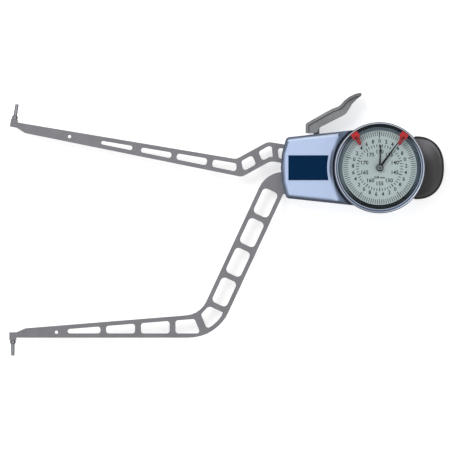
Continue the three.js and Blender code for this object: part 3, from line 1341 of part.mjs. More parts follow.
function hairspring() {
  const steps = HAIRSPRING_TURNS * HAIRSPRING_STEPS;
  const side = (offset) =>
    Array.from({ length: steps + 1 }, (_, i) => {
      const radius = spiralStart + ((spiralEnd - spiralStart) * i) / steps + offset;
      return polar(radius, (spiralSweep * i) / steps);
    });
  const low = plateHigh + FREE_GAP;
  const outline = [...side(0), ...side(HAIRSPRING_WIRE).reverse()];
  return seat(slab(outline, low, low + HAIRSPRING_WIDTH), firstPlace);
}

piece("hairspring", hairspring(), brightSteel);
const studDistance = spiralEnd + HAIRSPRING_WIRE + SEAT_GAP + HAIRSPRING_STUD_RADIUS;
const studPlace = polar(studDistance, spiralSweep, firstPlace);
const studHigh = plateHigh + 2 * FREE_GAP + HAIRSPRING_WIDTH;
piece("hairspring_stud", seat(rod(HAIRSPRING_STUD_RADIUS, plateHigh, studHigh), studPlace), brass);

// Dial stack and hands
const bezelLow = recessFloor + BEZEL_LIFT;
const dialSeatLow = neckHigh + SEAT_GAP;
const dialLow = dialSeatLow + DIAL_SEAT_THICKNESS;
const dialHigh = dialLow + DIAL_THICKNESS;
const crystalLow = dialHigh + DIAL_RING_HEIGHT;
const crystalHigh = crystalLow + CRYSTAL_THICKNESS;
const trackHigh = crystalHigh + RUNNING_GAP;
const crownHigh = trackHigh + BEZEL_TRACK_DEPTH;
const dialRadius = bezelBore - SEAT_GAP;
const gasketOuter = bezelBore - RUNNING_GAP;
const smallHandLow = dialHigh + HAND_LIFT;
const smallHandHigh = smallHandLow + HAND_THICKNESS;
const mainHandLow = smallHandHigh + HAND_LIFT;
const mainHandHigh = mainHandLow + HAND_THICKNESS;

function centreArbor() {
  const profile = [
    [0, ledgeHigh + RUNNING_GAP],
    [PIVOT_TIP_RADIUS, ledgeHigh + RUNNING_GAP],
    [PIVOT_TIP_RADIUS, plateHigh + RUNNING_GAP],
    [ARBOR_RADIUS, plateHigh + RUNNING_GAP],
    [ARBOR_RADIUS, wheelLow],
    [CENTRE_ARBOR_RADIUS, wheelLow],
    [CENTRE_ARBOR_RADIUS, mainHandHigh + SEAT_GAP],
    [0, mainHandHigh + SEAT_GAP],
  ];
  const pinion = teeth(PINION_TEETH, TRANSFER_MODULE, towardsPivot + halfPinionPitch);
  return joined(lathed(profile, SMALL_SIDES), slab(pinion, wheelLow - SEAT_GAP, wheelHigh + SEAT_GAP));
}

function hand(length, tailLength, low, bore, reading) {
  const outline = [
    point(-HAND_ROOT_HALF, -tailLength),
    point(HAND_ROOT_HALF, -tailLength),
    point(HAND_ROOT_HALF, 0),
    point(HAND_TIP_HALF, length),
    point(-HAND_TIP_HALF, length),
    point(-HAND_ROOT_HALF, 0),
  ];
  const high = low + HAND_THICKNESS;
  const blank = joined(slab(outline, low, high), rod(HAND_HUB_RADIUS, low, high, ROUND_SIDES));
  return cut(blank, rod(bore, low - CUT_OVERRUN, high + CUT_OVERRUN)).rotateZ(-reading);
}

function counterTube() {
  const flangeLow = counterLow - SEAT_GAP;
  const profile = [
    [tubeBore, flangeLow],
    [tubeRadius + COUNTER_FLANGE, flangeLow],
    [tubeRadius + COUNTER_FLANGE, counterLow],
    [tubeRadius, counterLow],
    [tubeRadius, smallHandHigh + RUNNING_GAP],
    [tubeBore, smallHandHigh + RUNNING_GAP],
    [tubeBore, flangeLow],
  ];
  return lathed(profile, SMALL_SIDES);
}

const handBore = tubeRadius + RUNNING_GAP;
const counterPhase = towardsPivot + Math.PI / COUNTER_TEETH;
piece("centre_arbor", centreArbor(), brightSteel, centreBody);
const mainHand = hand(MAIN_HAND_LENGTH, MAIN_HAND_TAIL, mainHandLow, tubeBore, MAIN_HAND_READING);
piece("main_hand", mainHand, handBlack, centreBody);
piece("counter_tube", counterTube(), brass, counterBody);
const counterTeeth = teeth(COUNTER_TEETH, counterModule, counterPhase);
piece("counter_gear", slab(counterTeeth, counterLow, counterHigh, [circle(handBore)]), brass, counterBody);
const smallHand = hand(SMALL_HAND_LENGTH, HAND_HUB_RADIUS, smallHandLow, handBore, SMALL_HAND_READING);
piece("small_hand", smallHand, handBlack, counterBody);

function bezelRing() {
  const crownInner = bezelRadius - BEZEL_CROWN_WIDTH;
  const profile = [
    [bezelBore, bezelLow],
    [bezelRadius - BEZEL_CHAMFER, bezelLow],
    [bezelRadius, bezelLow + BEZEL_CHAMFER],
    [bezelRadius, crownHigh - BEZEL_CHAMFER],
    [bezelRadius - BEZEL_CHAMFER, crownHigh],
    [crownInner, crownHigh],
    [crownInner, trackHigh],
    [bezelBore, trackHigh],
    [bezelBore, dialLow],
    [bezelBore - DIAL_SEAT_WIDTH, dialLow],
    [bezelBore - DIAL_SEAT_WIDTH, dialSeatLow],
    [bezelBore, dialSeatLow],
    [bezelBore, bezelLow],
  ];
  return lathed(profile, LARGE_SIDES);
}

function dialRing() {
  const profile = [
    [DIAL_VIEW_RADIUS, dialHigh],
    [dialRadius, dialHigh],
    [dialRadius, crystalLow],
    [dialRadius - DIAL_RING_LIP, crystalLow],
    [DIAL_VIEW_RADIUS, dialHigh],
  ];
  return lathed(profile, LARGE_SIDES);
}

piece("bezel_ring", bezelRing(), bezelSteel, bezelBody);
piece("dial_plate", ring(handBore + SEAT_GAP, dialRadius, dialLow, dialHigh), dialGrey, bezelBody);
piece("dial_ring", dialRing(), dialRingDark, bezelBody);
const gasketInner = gasketOuter - GASKET_WALL;
const crystal = rod(gasketInner - RUNNING_GAP, crystalLow, crystalHigh, LARGE_SIDES);
piece("crystal", crystal, clearGlass, bezelBody);
piece("crystal_gasket", ring(gasketInner, gasketOuter, crystalLow, crystalHigh), rubberBlack, bezelBody);

// Friction spring ring in the groove of the neck
function springRing() {
  const groove = WELL_RADIUS + NECK_WALL - NECK_GROOVE_DEPTH;
  const inner = groove + RUNNING_GAP;
  const low = (recessFloor + neckHigh - SPRING_RING_WIRE) / 2;
  const start = SPRING_RING_GAP / 2;
  const outline = sector(inner, inner + SPRING_RING_WIRE, start, 2 * Math.PI - start);
  return slab(outline, low, low + SPRING_RING_WIRE);
}

piece("bezel_spring_ring", springRing(), brightSteel);

// Tolerance markers, on the track of the bezel
function marker(angle) {
  const outer = bezelRadius - BEZEL_CROWN_WIDTH - SEAT_GAP;
  const inner = outer - MARKER_HEAD_DEPTH;
  const lean = Math.asin(MARKER_HEAD_HALF / outer);
  const head = rounded([
    [point(-MARKER_HEAD_HALF, inner), MARKER_TONGUE_HALF],
    [point(MARKER_HEAD_HALF, inner), MARKER_TONGUE_HALF],
    ...arc(dialCentre, outer, Math.PI / 2 - lean, Math.PI / 2 + lean).map((corner) => [corner, 0]),
  ]);
  const tongue = rounded([
    [point(-MARKER_TONGUE_HALF, MARKER_TIP_RADIUS), MARKER_TONGUE_HALF],
    [point(MARKER_TONGUE_HALF, MARKER_TIP_RADIUS), MARKER_TONGUE_HALF],
    [point(MARKER_TONGUE_HALF, inner + MARKER_TONGUE_HALF), 0],
    [point(-MARKER_TONGUE_HALF, inner + MARKER_TONGUE_HALF), 0],
  ]);
  const blank = joined(
    slab(head, trackHigh, trackHigh + MARKER_HEAD_THICKNESS),
    slab(tongue, trackHigh, trackHigh + MARKER_THICKNESS),
  );
  return blank.rotateZ(angle);
}

piece("low_limit_marker", marker(MARKER_ANGLE), markerRed, bezelBody);
piece("high_limit_marker", marker(-MARKER_ANGLE), markerRed, bezelBody);

export default gauge;
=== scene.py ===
"""Looks of the internal caliper gauge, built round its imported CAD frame.

Lengths are millimetres, and MM turns them into metres, unless a comment says that they are metres already.
Angles are radians.
"""

import math
from functools import cached_property

import bmesh
import bpy
from mathutils import Matrix, Vector


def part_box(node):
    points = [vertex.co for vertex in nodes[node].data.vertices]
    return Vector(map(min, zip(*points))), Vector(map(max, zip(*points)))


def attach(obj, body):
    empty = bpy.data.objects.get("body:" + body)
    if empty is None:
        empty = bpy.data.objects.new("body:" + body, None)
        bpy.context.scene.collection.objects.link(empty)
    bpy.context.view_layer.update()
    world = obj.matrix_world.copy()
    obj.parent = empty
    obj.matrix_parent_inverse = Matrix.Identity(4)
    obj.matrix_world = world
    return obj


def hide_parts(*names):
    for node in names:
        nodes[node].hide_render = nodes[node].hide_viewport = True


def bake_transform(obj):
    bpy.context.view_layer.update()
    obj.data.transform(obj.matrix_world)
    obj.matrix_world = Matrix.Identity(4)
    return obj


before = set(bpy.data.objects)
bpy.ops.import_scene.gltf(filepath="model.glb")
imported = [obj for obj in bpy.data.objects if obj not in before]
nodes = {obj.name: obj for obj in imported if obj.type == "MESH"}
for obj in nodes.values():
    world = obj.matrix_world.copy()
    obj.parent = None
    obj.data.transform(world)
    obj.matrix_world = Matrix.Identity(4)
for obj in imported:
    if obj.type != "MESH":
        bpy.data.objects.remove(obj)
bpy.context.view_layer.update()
scene = bpy.context.scene
MM = 0.001
X, Y, Z = range(3)


def limits(node, axis):
    """Lowest and highest place of a CAD node along an axis, to a hundredth of a mm."""
    return [round(corner[axis] / MM, 2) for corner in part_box(node)]


def middle(node):
    """The middle of a CAD node's box in mm."""
    low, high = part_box(node)
    return (low + high) / (2 * MM)


# Sizes read from the CAD
BEZEL_RADIUS = limits("bezel_ring", X)[1]
BEZEL_LOW, BEZEL_HIGH = limits("bezel_ring", Z)
DIAL_RADIUS = limits("dial_plate", X)[1]
DIAL_LOW, DIAL_HIGH = limits("dial_plate", Z)
CRYSTAL_RADIUS = limits("crystal", X)[1]
CRYSTAL_LOW, CRYSTAL_HIGH = limits("crystal", Z)
SMALL_HAND_HEIGHTS = limits("small_hand", Z)
MAIN_HAND_HEIGHTS = limits("main_hand", Z)
TRACK_HIGH, CLIP_HIGH = limits("low_limit_marker", Z)
FACE_HIGH = limits("label_plate", Z)[0]
GRIP_REACH = limits("grip", X)[1]
GRIP_HALF = limits("grip", Y)[1]
GRIP_LOW, GRIP_HIGH = limits("grip", Z)
TONGUE_REACH = limits("housing_shell", X)[1]
CONTACT_HEIGHT = round(middle("lower_contact_pin").z, 2)

# Sizes that no box of the CAD gives
BORE = 29.8
SEAT_RADIUS = 28.3
SEAT_THICKNESS = 0.6
VIEW_RADIUS = 26.7
MAIN_READING = math.radians(36.3)
MAIN_LENGTH = 24
MAIN_HUB = 2.4
SMALL_READING = math.radians(3)
SMALL_LENGTH = 16.5
SMALL_HUB = 2.1
MARKER_ANGLE = math.radians(37)
GRIP_SHOULDER = 26
GRIP_SQUARENESS = 2.3
GRIP_BORE = 31.3
GRIP_BORE_HALF = 21.25
TONGUE_HALF = 11
TONGUE_LOW = 7.5
TONGUE_HIGH = 11.5
TONGUE_GAP = 0.3
HOUSING_HALF = 29.19
HOUSING_TAPER = 0.104


# Geometry, in which points closer than SAME_POINT metres are one
SAME_POINT = 1e-7
ON_AXIS = 1e-6
FINE_CREASE = math.radians(35)


def link(name, data):
    """A new object with that data, in the scene."""
    made = bpy.data.objects.new(name, data)
    scene.collection.objects.link(made)
    return made


def shade(mesh):
    """Smooth shading, with a crease where faces meet at a steeper angle."""
    mesh.polygons.foreach_set("use_smooth", [True] * len(mesh.polygons))
    mesh.set_sharp_from_angle(angle=FINE_CREASE)


def make(name, verts, faces, body):
    """A closed mesh from millimetre points, riding on a body unless that is None."""
    mesh = bpy.data.meshes.new(name)
    mesh.from_pydata([(x * MM, y * MM, z * MM) for x, y, z in verts], [], faces)
    form = bmesh.new()
    form.from_mesh(mesh)
    bmesh.ops.remove_doubles(form, verts=form.verts, dist=SAME_POINT)
    bmesh.ops.recalc_face_normals(form, faces=form.faces)
    form.to_mesh(mesh)
    form.free()
    shade(mesh)
    piece = link(name, mesh)
    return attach(piece, body) if body else piece


def solid(name, form):
    """A new object with the closed mesh of a form, its faces turned outwards."""
    bmesh.ops.recalc_face_normals(form, faces=form.faces)
    mesh = bpy.data.meshes.new(name)
    form.to_mesh(mesh)
    form.free()
    return link(name, mesh)


def prism(form, corners, low, high):
    """Adds a closed block to a form, with an outline given clockwise or not."""
    bottom = [form.verts.new((x * MM, y * MM, low * MM)) for x, y in corners]
    top = [form.verts.new((x * MM, y * MM, high * MM)) for x, y in corners]
    form.faces.new(bottom)
    form.faces.new(top[::-1])
    for i in range(len(corners)):
        j = (i + 1) % len(corners)
        form.faces.new((bottom[i], top[i], top[j], bottom[j]))


def moved(points, across, up):
    """Flat points, each moved by the same amounts."""
    return [(x + across, y + up) for x, y in points]


def disc(radius, sides):
    """Points on a circle, from the right and against the clock."""
    turns = [2 * math.pi * i / sides for i in range(sides)]
    return [(radius * math.cos(turn), radius * math.sin(turn)) for turn in turns]


def clockwise(angle, radius):
    """The point of the dial at an angle clockwise from the top."""
    return radius * math.sin(angle), radius * math.cos(angle)


def lathe(name, profile, body, sides=160):
    """Turns a profile of (radius, height) about the dial's axis. It closes on itself, or ends on the axis."""
    verts, rows = [], []
    for radius, height in profile:
        on_axis = radius < ON_AXIS
        corners = [(0, 0)] if on_axis else disc(radius, sides)
        first = len(verts)
        rows.append([first] * sides if on_axis else list(range(first, first + sides)))
        verts += [(x, y, height) for x, y in corners]
    faces = []
    open_ends = profile[0][0] < ON_AXIS and profile[-1][0] < ON_AXIS
    pairs = list(zip(rows, rows[1:])) + ([] if open_ends else [(rows[-1], rows[0])])
    for low, high in pairs:
        for i in range(sides):
            j = (i + 1) % sides
            corners = [low[i], low[j], high[j], high[i]]
            face = [c for k, c in enumerate(corners) if c not in corners[:k]]
            if len(face) > 2:
                faces.append(face)
    return make(name, verts, faces, body)


def stack(outlines, name, body):
    """Closes a stack of outlines, each a list of (x, y, z) with the same count, lowest first."""
    count = len(outlines[0])
    verts = [corner for outline in outlines for corner in outline]
    faces = [list(range(count))[::-1], list(range(len(verts) - count, len(verts)))]
    for level in range(len(outlines) - 1):
        for i in range(count):
            j = (i + 1) % count
            low, high = level * count, (level + 1) * count
            faces.append([low + i, low + j, high + j, high + i])
    return make(name, verts, faces, body)


# Node trees
def feed(tree, value, socket):
    """Gives a socket a plain value, or links it to another socket or to a node's first output."""
    if isinstance(value, bpy.types.Node):
        value = value.outputs[0]
    if isinstance(value, bpy.types.NodeSocket):
        tree.links.new(value, socket)
    else:
        socket.default_value = value


def add_node(tree, kind, inputs=None, **settings):
    """A new node with its settings made and its inputs fed."""
    made = tree.nodes.new(kind)
    for key, value in settings.items():
        setattr(made, key, value)
    for key, value in (inputs or {}).items():
        feed(tree, value, made.inputs[key])
    return made


def empty_tree(owner):
    """The node tree of a material or a world, with nothing in it."""
    owner.use_nodes = True
    owner.node_tree.nodes.clear()
    return owner.node_tree


def geometry_group(name):
    """A new geometry group and the node that its mesh comes in by."""
    group = bpy.data.node_groups.new(name, "GeometryNodeTree")
    for way in ("INPUT", "OUTPUT"):
        group.interface.new_socket("Geometry", in_out=way, socket_type="NodeSocketGeometry")
    return group, add_node(group, "NodeGroupInput")


# Materials
def srgb(red, green, blue):
    """Linear colour of an 8-bit sRGB colour."""
    def linear(level):
        share = level / 255
        return share / 12.92 if share <= 0.04045 else ((share + 0.055) / 1.055) ** 2.4
    return linear(red), linear(green), linear(blue), 1.0


class Surface:
    """A Principled material with short ways to add procedural detail in object space.

    A fade is a value and the two levels between which it lets a colour through, from nothing at the first to
    all of it at the second. Where two more numbers follow, they stand for nothing and all.
    """

    def __init__(self, name, colour, rough, metal, shine):
        self.material = bpy.data.materials.new(name)
        self.material.use_nodes = True
        self.tree = self.material.node_tree
        self.shader = self.tree.nodes["Principled BSDF"]
        self.shader.inputs["Metallic"].default_value = metal
        self.shader.inputs["Specular IOR Level"].default_value = shine
        coords = self.node("ShaderNodeTexCoord").outputs
        self.place = coords["Object"]
        place = self.node("ShaderNodeSeparateXYZ", {0: self.place}).outputs
        self.x, self.y, self.z = [self.times(place[letter], 1 / MM) for letter in "XYZ"]
        self.facing = self.node("ShaderNodeSeparateXYZ", {0: coords["Normal"]}).outputs
        self.colour = srgb(*colour)
        self.rough = rough
        self.height = None

    def node(self, kind, inputs=None, **settings):
        """A new node of this material."""
        return add_node(self.tree, kind, inputs, **settings)

    def math(self, operation, *values):
        """What a math node makes of some values."""
        return self.node("ShaderNodeMath", dict(enumerate(values)), operation=operation).outputs[0]

    def times(self, product, *others):
        """The product of one or more values."""
        for other in others:
            product = self.math("MULTIPLY", product, other)
        return product

    def distance(self, x, y):
        """How far a flat point is from where both its coordinates are 0."""
        return self.math("POWER", self.math("ADD", self.times(x, x), self.times(y, y)), 0.5)

    @cached_property
    def lift(self):
        """1 where the surface is level, and 0 where it stands upright."""
        return self.math("ABSOLUTE", self.facing["Z"])

    @cached_property
    def radius(self):
        """Distance from the dial's axis in mm."""
        return self.distance(self.x, self.y)

    @cached_property
    def upward(self):
        """1 at the top of the dial, 0 at its sides and -1 at its bottom."""
        return self.math("DIVIDE", self.y, self.radius)

    @cached_property
    def leftward(self):
        """1 at the left of the dial, 0 at its top and bottom, and -1 at its right."""
        return self.math("DIVIDE", self.times(self.x, -1), self.radius)

    def noise(self, feature, stretch=(1, 1, 1), detail=3, turn=0.0):
        """Noise with features of about that size in mm, longer along an axis whose stretch is small."""
        turned = {"Vector": self.place, "Rotation": (0, 0, turn), "Scale": stretch}
        mapping = self.node("ShaderNodeMapping", turned)
        made = {"Vector": mapping, "Scale": 1 / (feature * MM), "Detail": detail,
                "Roughness": NOISE_ROUGHNESS}
        return self.node("ShaderNodeTexNoise", made).outputs["Fac"]

    def span(self, value, low, high, start=0.0, end=1.0):
        """Goes softly from start to end while the value goes from low to high."""
        made = {"Value": value, "From Min": low, "From Max": high, "To Min": start, "To Max": end}
        return self.node("ShaderNodeMapRange", made, interpolation_type="SMOOTHSTEP").outputs[0]

    def blend(self, amount, second):
        """Mixes a second linear colour over what is there."""
        made = self.node("ShaderNodeMix", {0: amount}, data_type="RGBA")
        feed(self.tree, self.colour, made.inputs[6])
        feed(self.tree, second, made.inputs[7])
        self.colour = made.outputs[2]

    def lay(self, colour, *fades):
        """Lays an 8-bit sRGB colour over what is there, as far as every fade lets it through."""
        self.blend(self.times(*[self.span(*fade) for fade in fades]), srgb(*colour))

    def scale(self, factor):
        """Multiplies the colour that is there."""
        start = self.colour if isinstance(self.colour, bpy.types.NodeSocket) else self.colour[:3]
        made = {0: start, "Scale": factor}
        self.colour = self.node("ShaderNodeVectorMath", made, operation="SCALE").outputs[0]

    def tone(self, amount, spread):
        """Darkens and lightens what is there by up to a share of it."""
        self.scale(self.span(amount, *TONE_LEVELS, 1 - spread, 1 + spread))

    def raised(self, amount, strength):
        """Adds height in mm to the bump."""
        height = self.times(amount, strength * MM)
        self.height = height if self.height is None else self.math("ADD", self.height, height)

    def done(self):
        """The material, with its colour, roughness and bump fed to the shader."""
        feed(self.tree, self.colour, self.shader.inputs["Base Color"])
        feed(self.tree, self.rough, self.shader.inputs["Roughness"])
        if self.height is not None:
            bump = self.node("ShaderNodeBump", {"Strength": 1.0, "Distance": 1.0, "Height": self.height})
            feed(self.tree, bump, self.shader.inputs["Normal"])
        return self.material


# Sizes of the surface detail, its stretch and turn, and the levels of noise between which it fades
PATCHES = 14
RUBBED_SPOTS = 5
GLOSS_SPOTS = 3
SCRATCHES = 1.2
BRUSHING = 0.35
SCRATCH_STRETCH = (0.05, 1, 1)
BRUSHING_STRETCH = (0.02, 1, 1)
SCRATCH_TURN = 0.6
TONE_LEVELS = (0.3, 0.7)
SPOT_LEVELS = (0.62, 0.75)
SCRATCH_LEVELS = (0.7, 0.74)
NOISE_ROUGHNESS = 0.6
GLOSS_CHANGE = 0.12


def worked(name, colour, rough, metal=0.0, grain=0.5, streak=None, scratches=0.1, bump=0.01, spread=0.12,
           shine=0.3, edge=None, steep=0.6, level=0.985):
    """Metal or plastic with grain, soft patches, sparse rubbed spots and fine scratches.

    Grain is the size of its finest detail, bump its height, and spread the share by which its tone varies.
    Streak is the direction of its brushing. Edge is the factor of painted shade by which rounded edges are
    darker than the flats and the walls. Steep and level are the upward shares of the normal between which
    it fades.
    """
    made = Surface(name, colour, rough, metal, shine)
    base = made.colour[:3]

    def worn(amount, factor, added):
        """Lays a lighter shade of the first colour on."""
        made.blend(amount, tuple(min(1.0, c * factor + added) for c in base) + (1.0,))

    # Painted shade: rounded edges darker than the flats and walls, by the edge factor
    if edge is not None:
        flats = made.span(made.lift, steep, level, edge, 1.0)
        walls = made.span(made.lift, 0.5, 0.25, 0, 0.9)
        made.scale(made.math("MAXIMUM", flats, walls))
    made.tone(made.noise(grain, detail=4), spread)
    made.tone(made.noise(PATCHES, detail=2), spread / 2)
    if streak is not None:
        lines = made.noise(BRUSHING, BRUSHING_STRETCH, 5, streak)
        made.tone(lines, spread / 2)
        made.raised(lines, bump)
    spots = made.noise(RUBBED_SPOTS, detail=6)
    worn(made.span(spots, *SPOT_LEVELS, 0, scratches), factor=1.6, added=0.04)
    marks = made.noise(SCRATCHES, SCRATCH_STRETCH, 2, SCRATCH_TURN)
    worn(made.span(marks, *SCRATCH_LEVELS, 0, scratches), factor=1.4, added=0.05)
    made.rough = made.math("ADD", rough, made.times(made.noise(GLOSS_SPOTS), GLOSS_CHANGE))
    made.raised(made.noise(grain, detail=4), bump)
    return made


# Materials that need nothing but the common detail
PLAIN = {
    # arm_grey's edge factor paints shade on its rounded edges
    "arm_grey": dict(colour=(131, 130, 135), rough=0.5, metal=0.3, grain=0.6, bump=0.03, spread=0.1,
                     edge=0.6),
    "bright_steel": dict(colour=(172, 178, 188), rough=0.25, metal=0.9, grain=0.3, streak=0.3),
    "dark_steel": dict(colour=(84, 86, 92), rough=0.4, metal=0.9, grain=0.3, streak=0.8),
    "brass": dict(colour=(190, 156, 98), rough=0.35, metal=0.95, grain=0.4, streak=0.1),
    "bronze": dict(colour=(152, 116, 72), rough=0.4, metal=0.9, grain=0.4, streak=0.4),
    "cover_grey": dict(colour=(150, 158, 172), rough=0.5, metal=0.4, grain=0.5, bump=0.02),
    "rubber": dict(colour=(30, 32, 34), rough=0.85, grain=0.5, bump=0.02, shine=0.15),
    "label_navy": dict(colour=(0, 39, 75), rough=0.4, grain=0.3, bump=0.002, spread=0.06, scratches=0.03,
                       shine=0.05),
    "hand_black": dict(colour=(9, 10, 12), rough=0.5, grain=0.3, bump=0.002, spread=0.1, scratches=0.03,
                       shine=0.05),
    "ink": dict(colour=(26, 31, 34), rough=0.6, grain=0.2, bump=0.001, spread=0.15, shine=0.1),
    "dial_face": dict(colour=(190, 203, 204), rough=0.55, grain=0.3, bump=0.002, spread=0.025,
                      scratches=0.03, shine=0.2),
}


def lever_grey():
    """Grey plate with painted shade, nearly black, along its rounded edges, darker towards its upper end."""
    # edge=0.02 paints shade along the rounded edges as dark lines
    made = worked("lever_grey", (140, 141, 143), rough=0.6, metal=0.15, grain=0.7, bump=0.05, spread=0.2,
                  shine=0.2, edge=0.02, steep=0.9, level=0.998)
    made.scale(made.span(made.y, 40, 53, 1.0, 0.66))
    return made.done()


def pin_steel():
    """Painted highlight along the top of a pin that lies down, and painted shade along its flanks."""
    made = worked("pin_steel", (156, 159, 165), rough=0.45, metal=0.2, grain=0.3, streak=0.3, shine=0.1)
    # Painted shade: flanks darker than the top, as light falls on a round pin
    made.scale(made.span(made.lift, 0.72, 0.98, 0.22, 1.0))
    return made.done()


def hub_grey():
    """Grey cap of the hands with a darker middle."""
    made = worked("hub_grey", (128, 137, 140), rough=0.35, metal=0.4, grain=0.3, spread=0.1)
    made.lay((52, 60, 62), (made.radius, 1.0, 0.7, 0, 0.9))
    return made.done()


def housing_paint():
    """Light blue paint with painted highlights and shade on its roundings and cove, and painted light beside
    it.
    """
    made = worked("housing_paint", (194, 212, 246), rough=0.42, grain=0.35, bump=0.004, spread=0.025,
                  scratches=0.05)
    up = made.facing["Z"]
    outside = made.math("SUBTRACT", made.radius, BEZEL_RADIUS)
    half_width = made.math("ADD", made.times(made.x, HOUSING_TAPER), HOUSING_HALF)
    from_bottom = made.math("ADD", half_width, made.y)
    from_top = made.math("SUBTRACT", half_width, made.y)

    # Slopes of the face, with a painted highlight towards the top and duller painted shade towards the left,
    # then the painted shade of the dark rounding
    made.lay((214, 224, 250), (up, 0.998, 0.975), (made.facing["Y"], 0.02, 0.08))
    made.lay((118, 126, 147), (up, 0.98, 0.88))
    left_slope = (made.facing["X"], -0.01, -0.06)
    made.lay((146, 160, 184), (up, 0.9999, 0.985), left_slope)
    made.lay((98, 108, 126), (up, 0.97, 0.9), left_slope)
    made.lay((52, 58, 74), (up, 0.88, 0.5))

    # Painted highlight along the top edge of the left end, and painted shade along its bottom edge
    made.lay((214, 230, 255), (from_top, 2.1, 2.7), (from_top, 3.9, 3.1, 0, 0.9), (made.x, -29, -31),
             (up, 0.8, 0.95))
    left_end = [(made.x, -20, -24), (up, 0.2, 0.4)]
    made.lay((96, 104, 124), *left_end, (from_bottom, 4.3, 1.5))
    made.lay((18, 18, 28), *left_end, (from_bottom, 2.5, 0.9))

    # Side walls, then the cove in painted shade, darker still beside the bezel and at its bottom
    made.lay((136, 149, 176), (up, 0.45, 0.1))
    cove = [(made.z, FACE_HIGH - 0.2, FACE_HIGH - 1.3), (up, 0.6, 0.8)]
    made.lay((122, 136, 162), *cove)
    made.lay((20, 28, 42), *cove, (outside, 2.5, 0.6))
    made.lay((30, 34, 42), *cove, (made.y, -22, -26, 0, 0.6))

    # Painted light on the face beside the cove, against the bezel's shade there, and painted shade on the
    # cove's rim at both sides
    made.lay((204, 222, 255), (made.z, FACE_HIGH - 0.15, FACE_HIGH - 0.05), (up, 0.9, 0.97),
             (outside, 9.3, 5.1, 0, 0.75), (outside, 3.3, 4.1))
    made.lay((92, 103, 124), (made.z, FACE_HIGH - 0.9, FACE_HIGH - 0.3), (outside, 4.0, 2.6, 0, 0.95),
             (made.upward, 0.5, 0.3), (made.upward, -0.4, -0.1))
    return made.done()


def grip_black():
    """Black plastic with a painted sheen on its upper half, a painted glint along its hollow, and painted
    shade on its rim and right side.
    """
    made = worked("grip_black", (80, 80, 80), rough=0.5, grain=0.45, bump=0.03, spread=0.1, scratches=0.04,
                  shine=0.15, edge=0.1, level=0.998)
    # Painted sheen on the upper half, then painted shade towards the right
    made.lay((142, 141, 146), (made.y, 2, 17), (made.x, 44, 33), (made.y, 21, 18.5, 0, 0.75))
    made.scale(made.span(made.x, 38, 46, 1.0, 0.8))

    def powered(value, whole):
        """A length as a share of the whole, to the power that gives the grip its outline."""
        share = made.math("DIVIDE", made.math("MAXIMUM", value, 0.001), whole)
        return made.math("POWER", share, GRIP_SQUARENESS)

    # 1 on the grip's outline and 0 at the middle of its shoulder
    beyond = made.math("SUBTRACT", made.x, GRIP_SHOULDER)
    aside = made.math("ABSOLUTE", made.y)
    outward = made.math("ADD", powered(beyond, GRIP_REACH - GRIP_SHOULDER), powered(aside, GRIP_HALF))
    # Painted shade on the rim, then a painted glint just inside it
    made.lay((24, 24, 25), (outward, 0.82, 0.9, 0, 0.85), (made.facing["Z"], 0.1, 0.4))
    made.lay((132, 132, 136), (outward, 0.68, 0.76), (outward, 0.84, 0.78), (made.y, 0, 14, 0, 0.55))
    return made.done()


def marker_red():
    """Red paint, duller on the tongue over the dial, with painted shade on its rounded edges and a painted
    shadow of a recess where the head begins.
    """
    made = worked("marker_red", (184, 43, 47), rough=0.4, grain=0.4, bump=0.005, spread=0.06,
                  scratches=0.04, edge=0.7)
    made.lay((136, 50, 54), (made.radius, 26.8, 25.8, 0, 0.85))
    # Painted shadow of a recess: a dark patch where the head begins
    spot_x, spot_y = 17.0, 21.3
    aside = made.math("SUBTRACT", made.math("ABSOLUTE", made.x), spot_x)
    beyond = made.math("SUBTRACT", made.y, spot_y)
    made.lay((80, 14, 18), (made.distance(aside, beyond), 1.5, 0.9, 0, 0.85))
    return made.done()


def bezel_metal():
    """Bright metal ring, with painted reflections, highlights and shade on its track, crown, lip and wall
    laid on one after the other.
    """
    made = worked("bezel_metal", (176, 186, 206), rough=0.25, metal=0.6, grain=0.3, bump=0.003, spread=0.05,
                  scratches=0.06)
    inward = made.math("SUBTRACT", BEZEL_RADIUS, made.radius)
    down = made.math("SUBTRACT", BEZEL_HIGH, made.z)
    upward = made.upward
    beside = made.math("ABSOLUTE", upward)

    # Track, with painted shade in its upper half
    track = (down, 0.5, 0.75)
    made.lay((126, 139, 160), track)
    made.lay((22, 30, 38), track, (upward, 0.15, 0.75))

    # Painted highlight on top of the crown, painted shade in the groove of the track, and painted highlights
    # on the inner side of the crown and on the lip of the bore
    made.lay((232, 238, 248), (down, 0.4, 0.15), (upward, 0.2, 0.9, 0, 0.8))
    made.lay((92, 103, 124), (inward, 2.35, 2.2), (inward, 1.4, 1.55), (upward, 0.7, 0.3, 0, 0.8))
    made.lay((236, 242, 250), (inward, 1.5, 1.3), (inward, 0.75, 0.95, 0, 0.75), (beside, 0.9, 0.5))
    made.lay((186, 202, 222), (inward, 2.4, 2.55), (down, 1.2, 1.0, 0, 0.8), (upward, 0.8, 0.3))

    # Painted shade on the outer rounding, a painted light line on the wall outside it, and painted shade on
    # all that lies below the track
    made.lay((44, 48, 60), (inward, 0.75, 0.5, 0, 0.97), (down, 1.5, 1.1))
    made.lay((150, 160, 182), (inward, 0.2, 0.05), (down, 1.2, 1.6))
    made.lay((52, 58, 72), (down, 0.88, 1.1, 0, 0.85))
    return made.done()


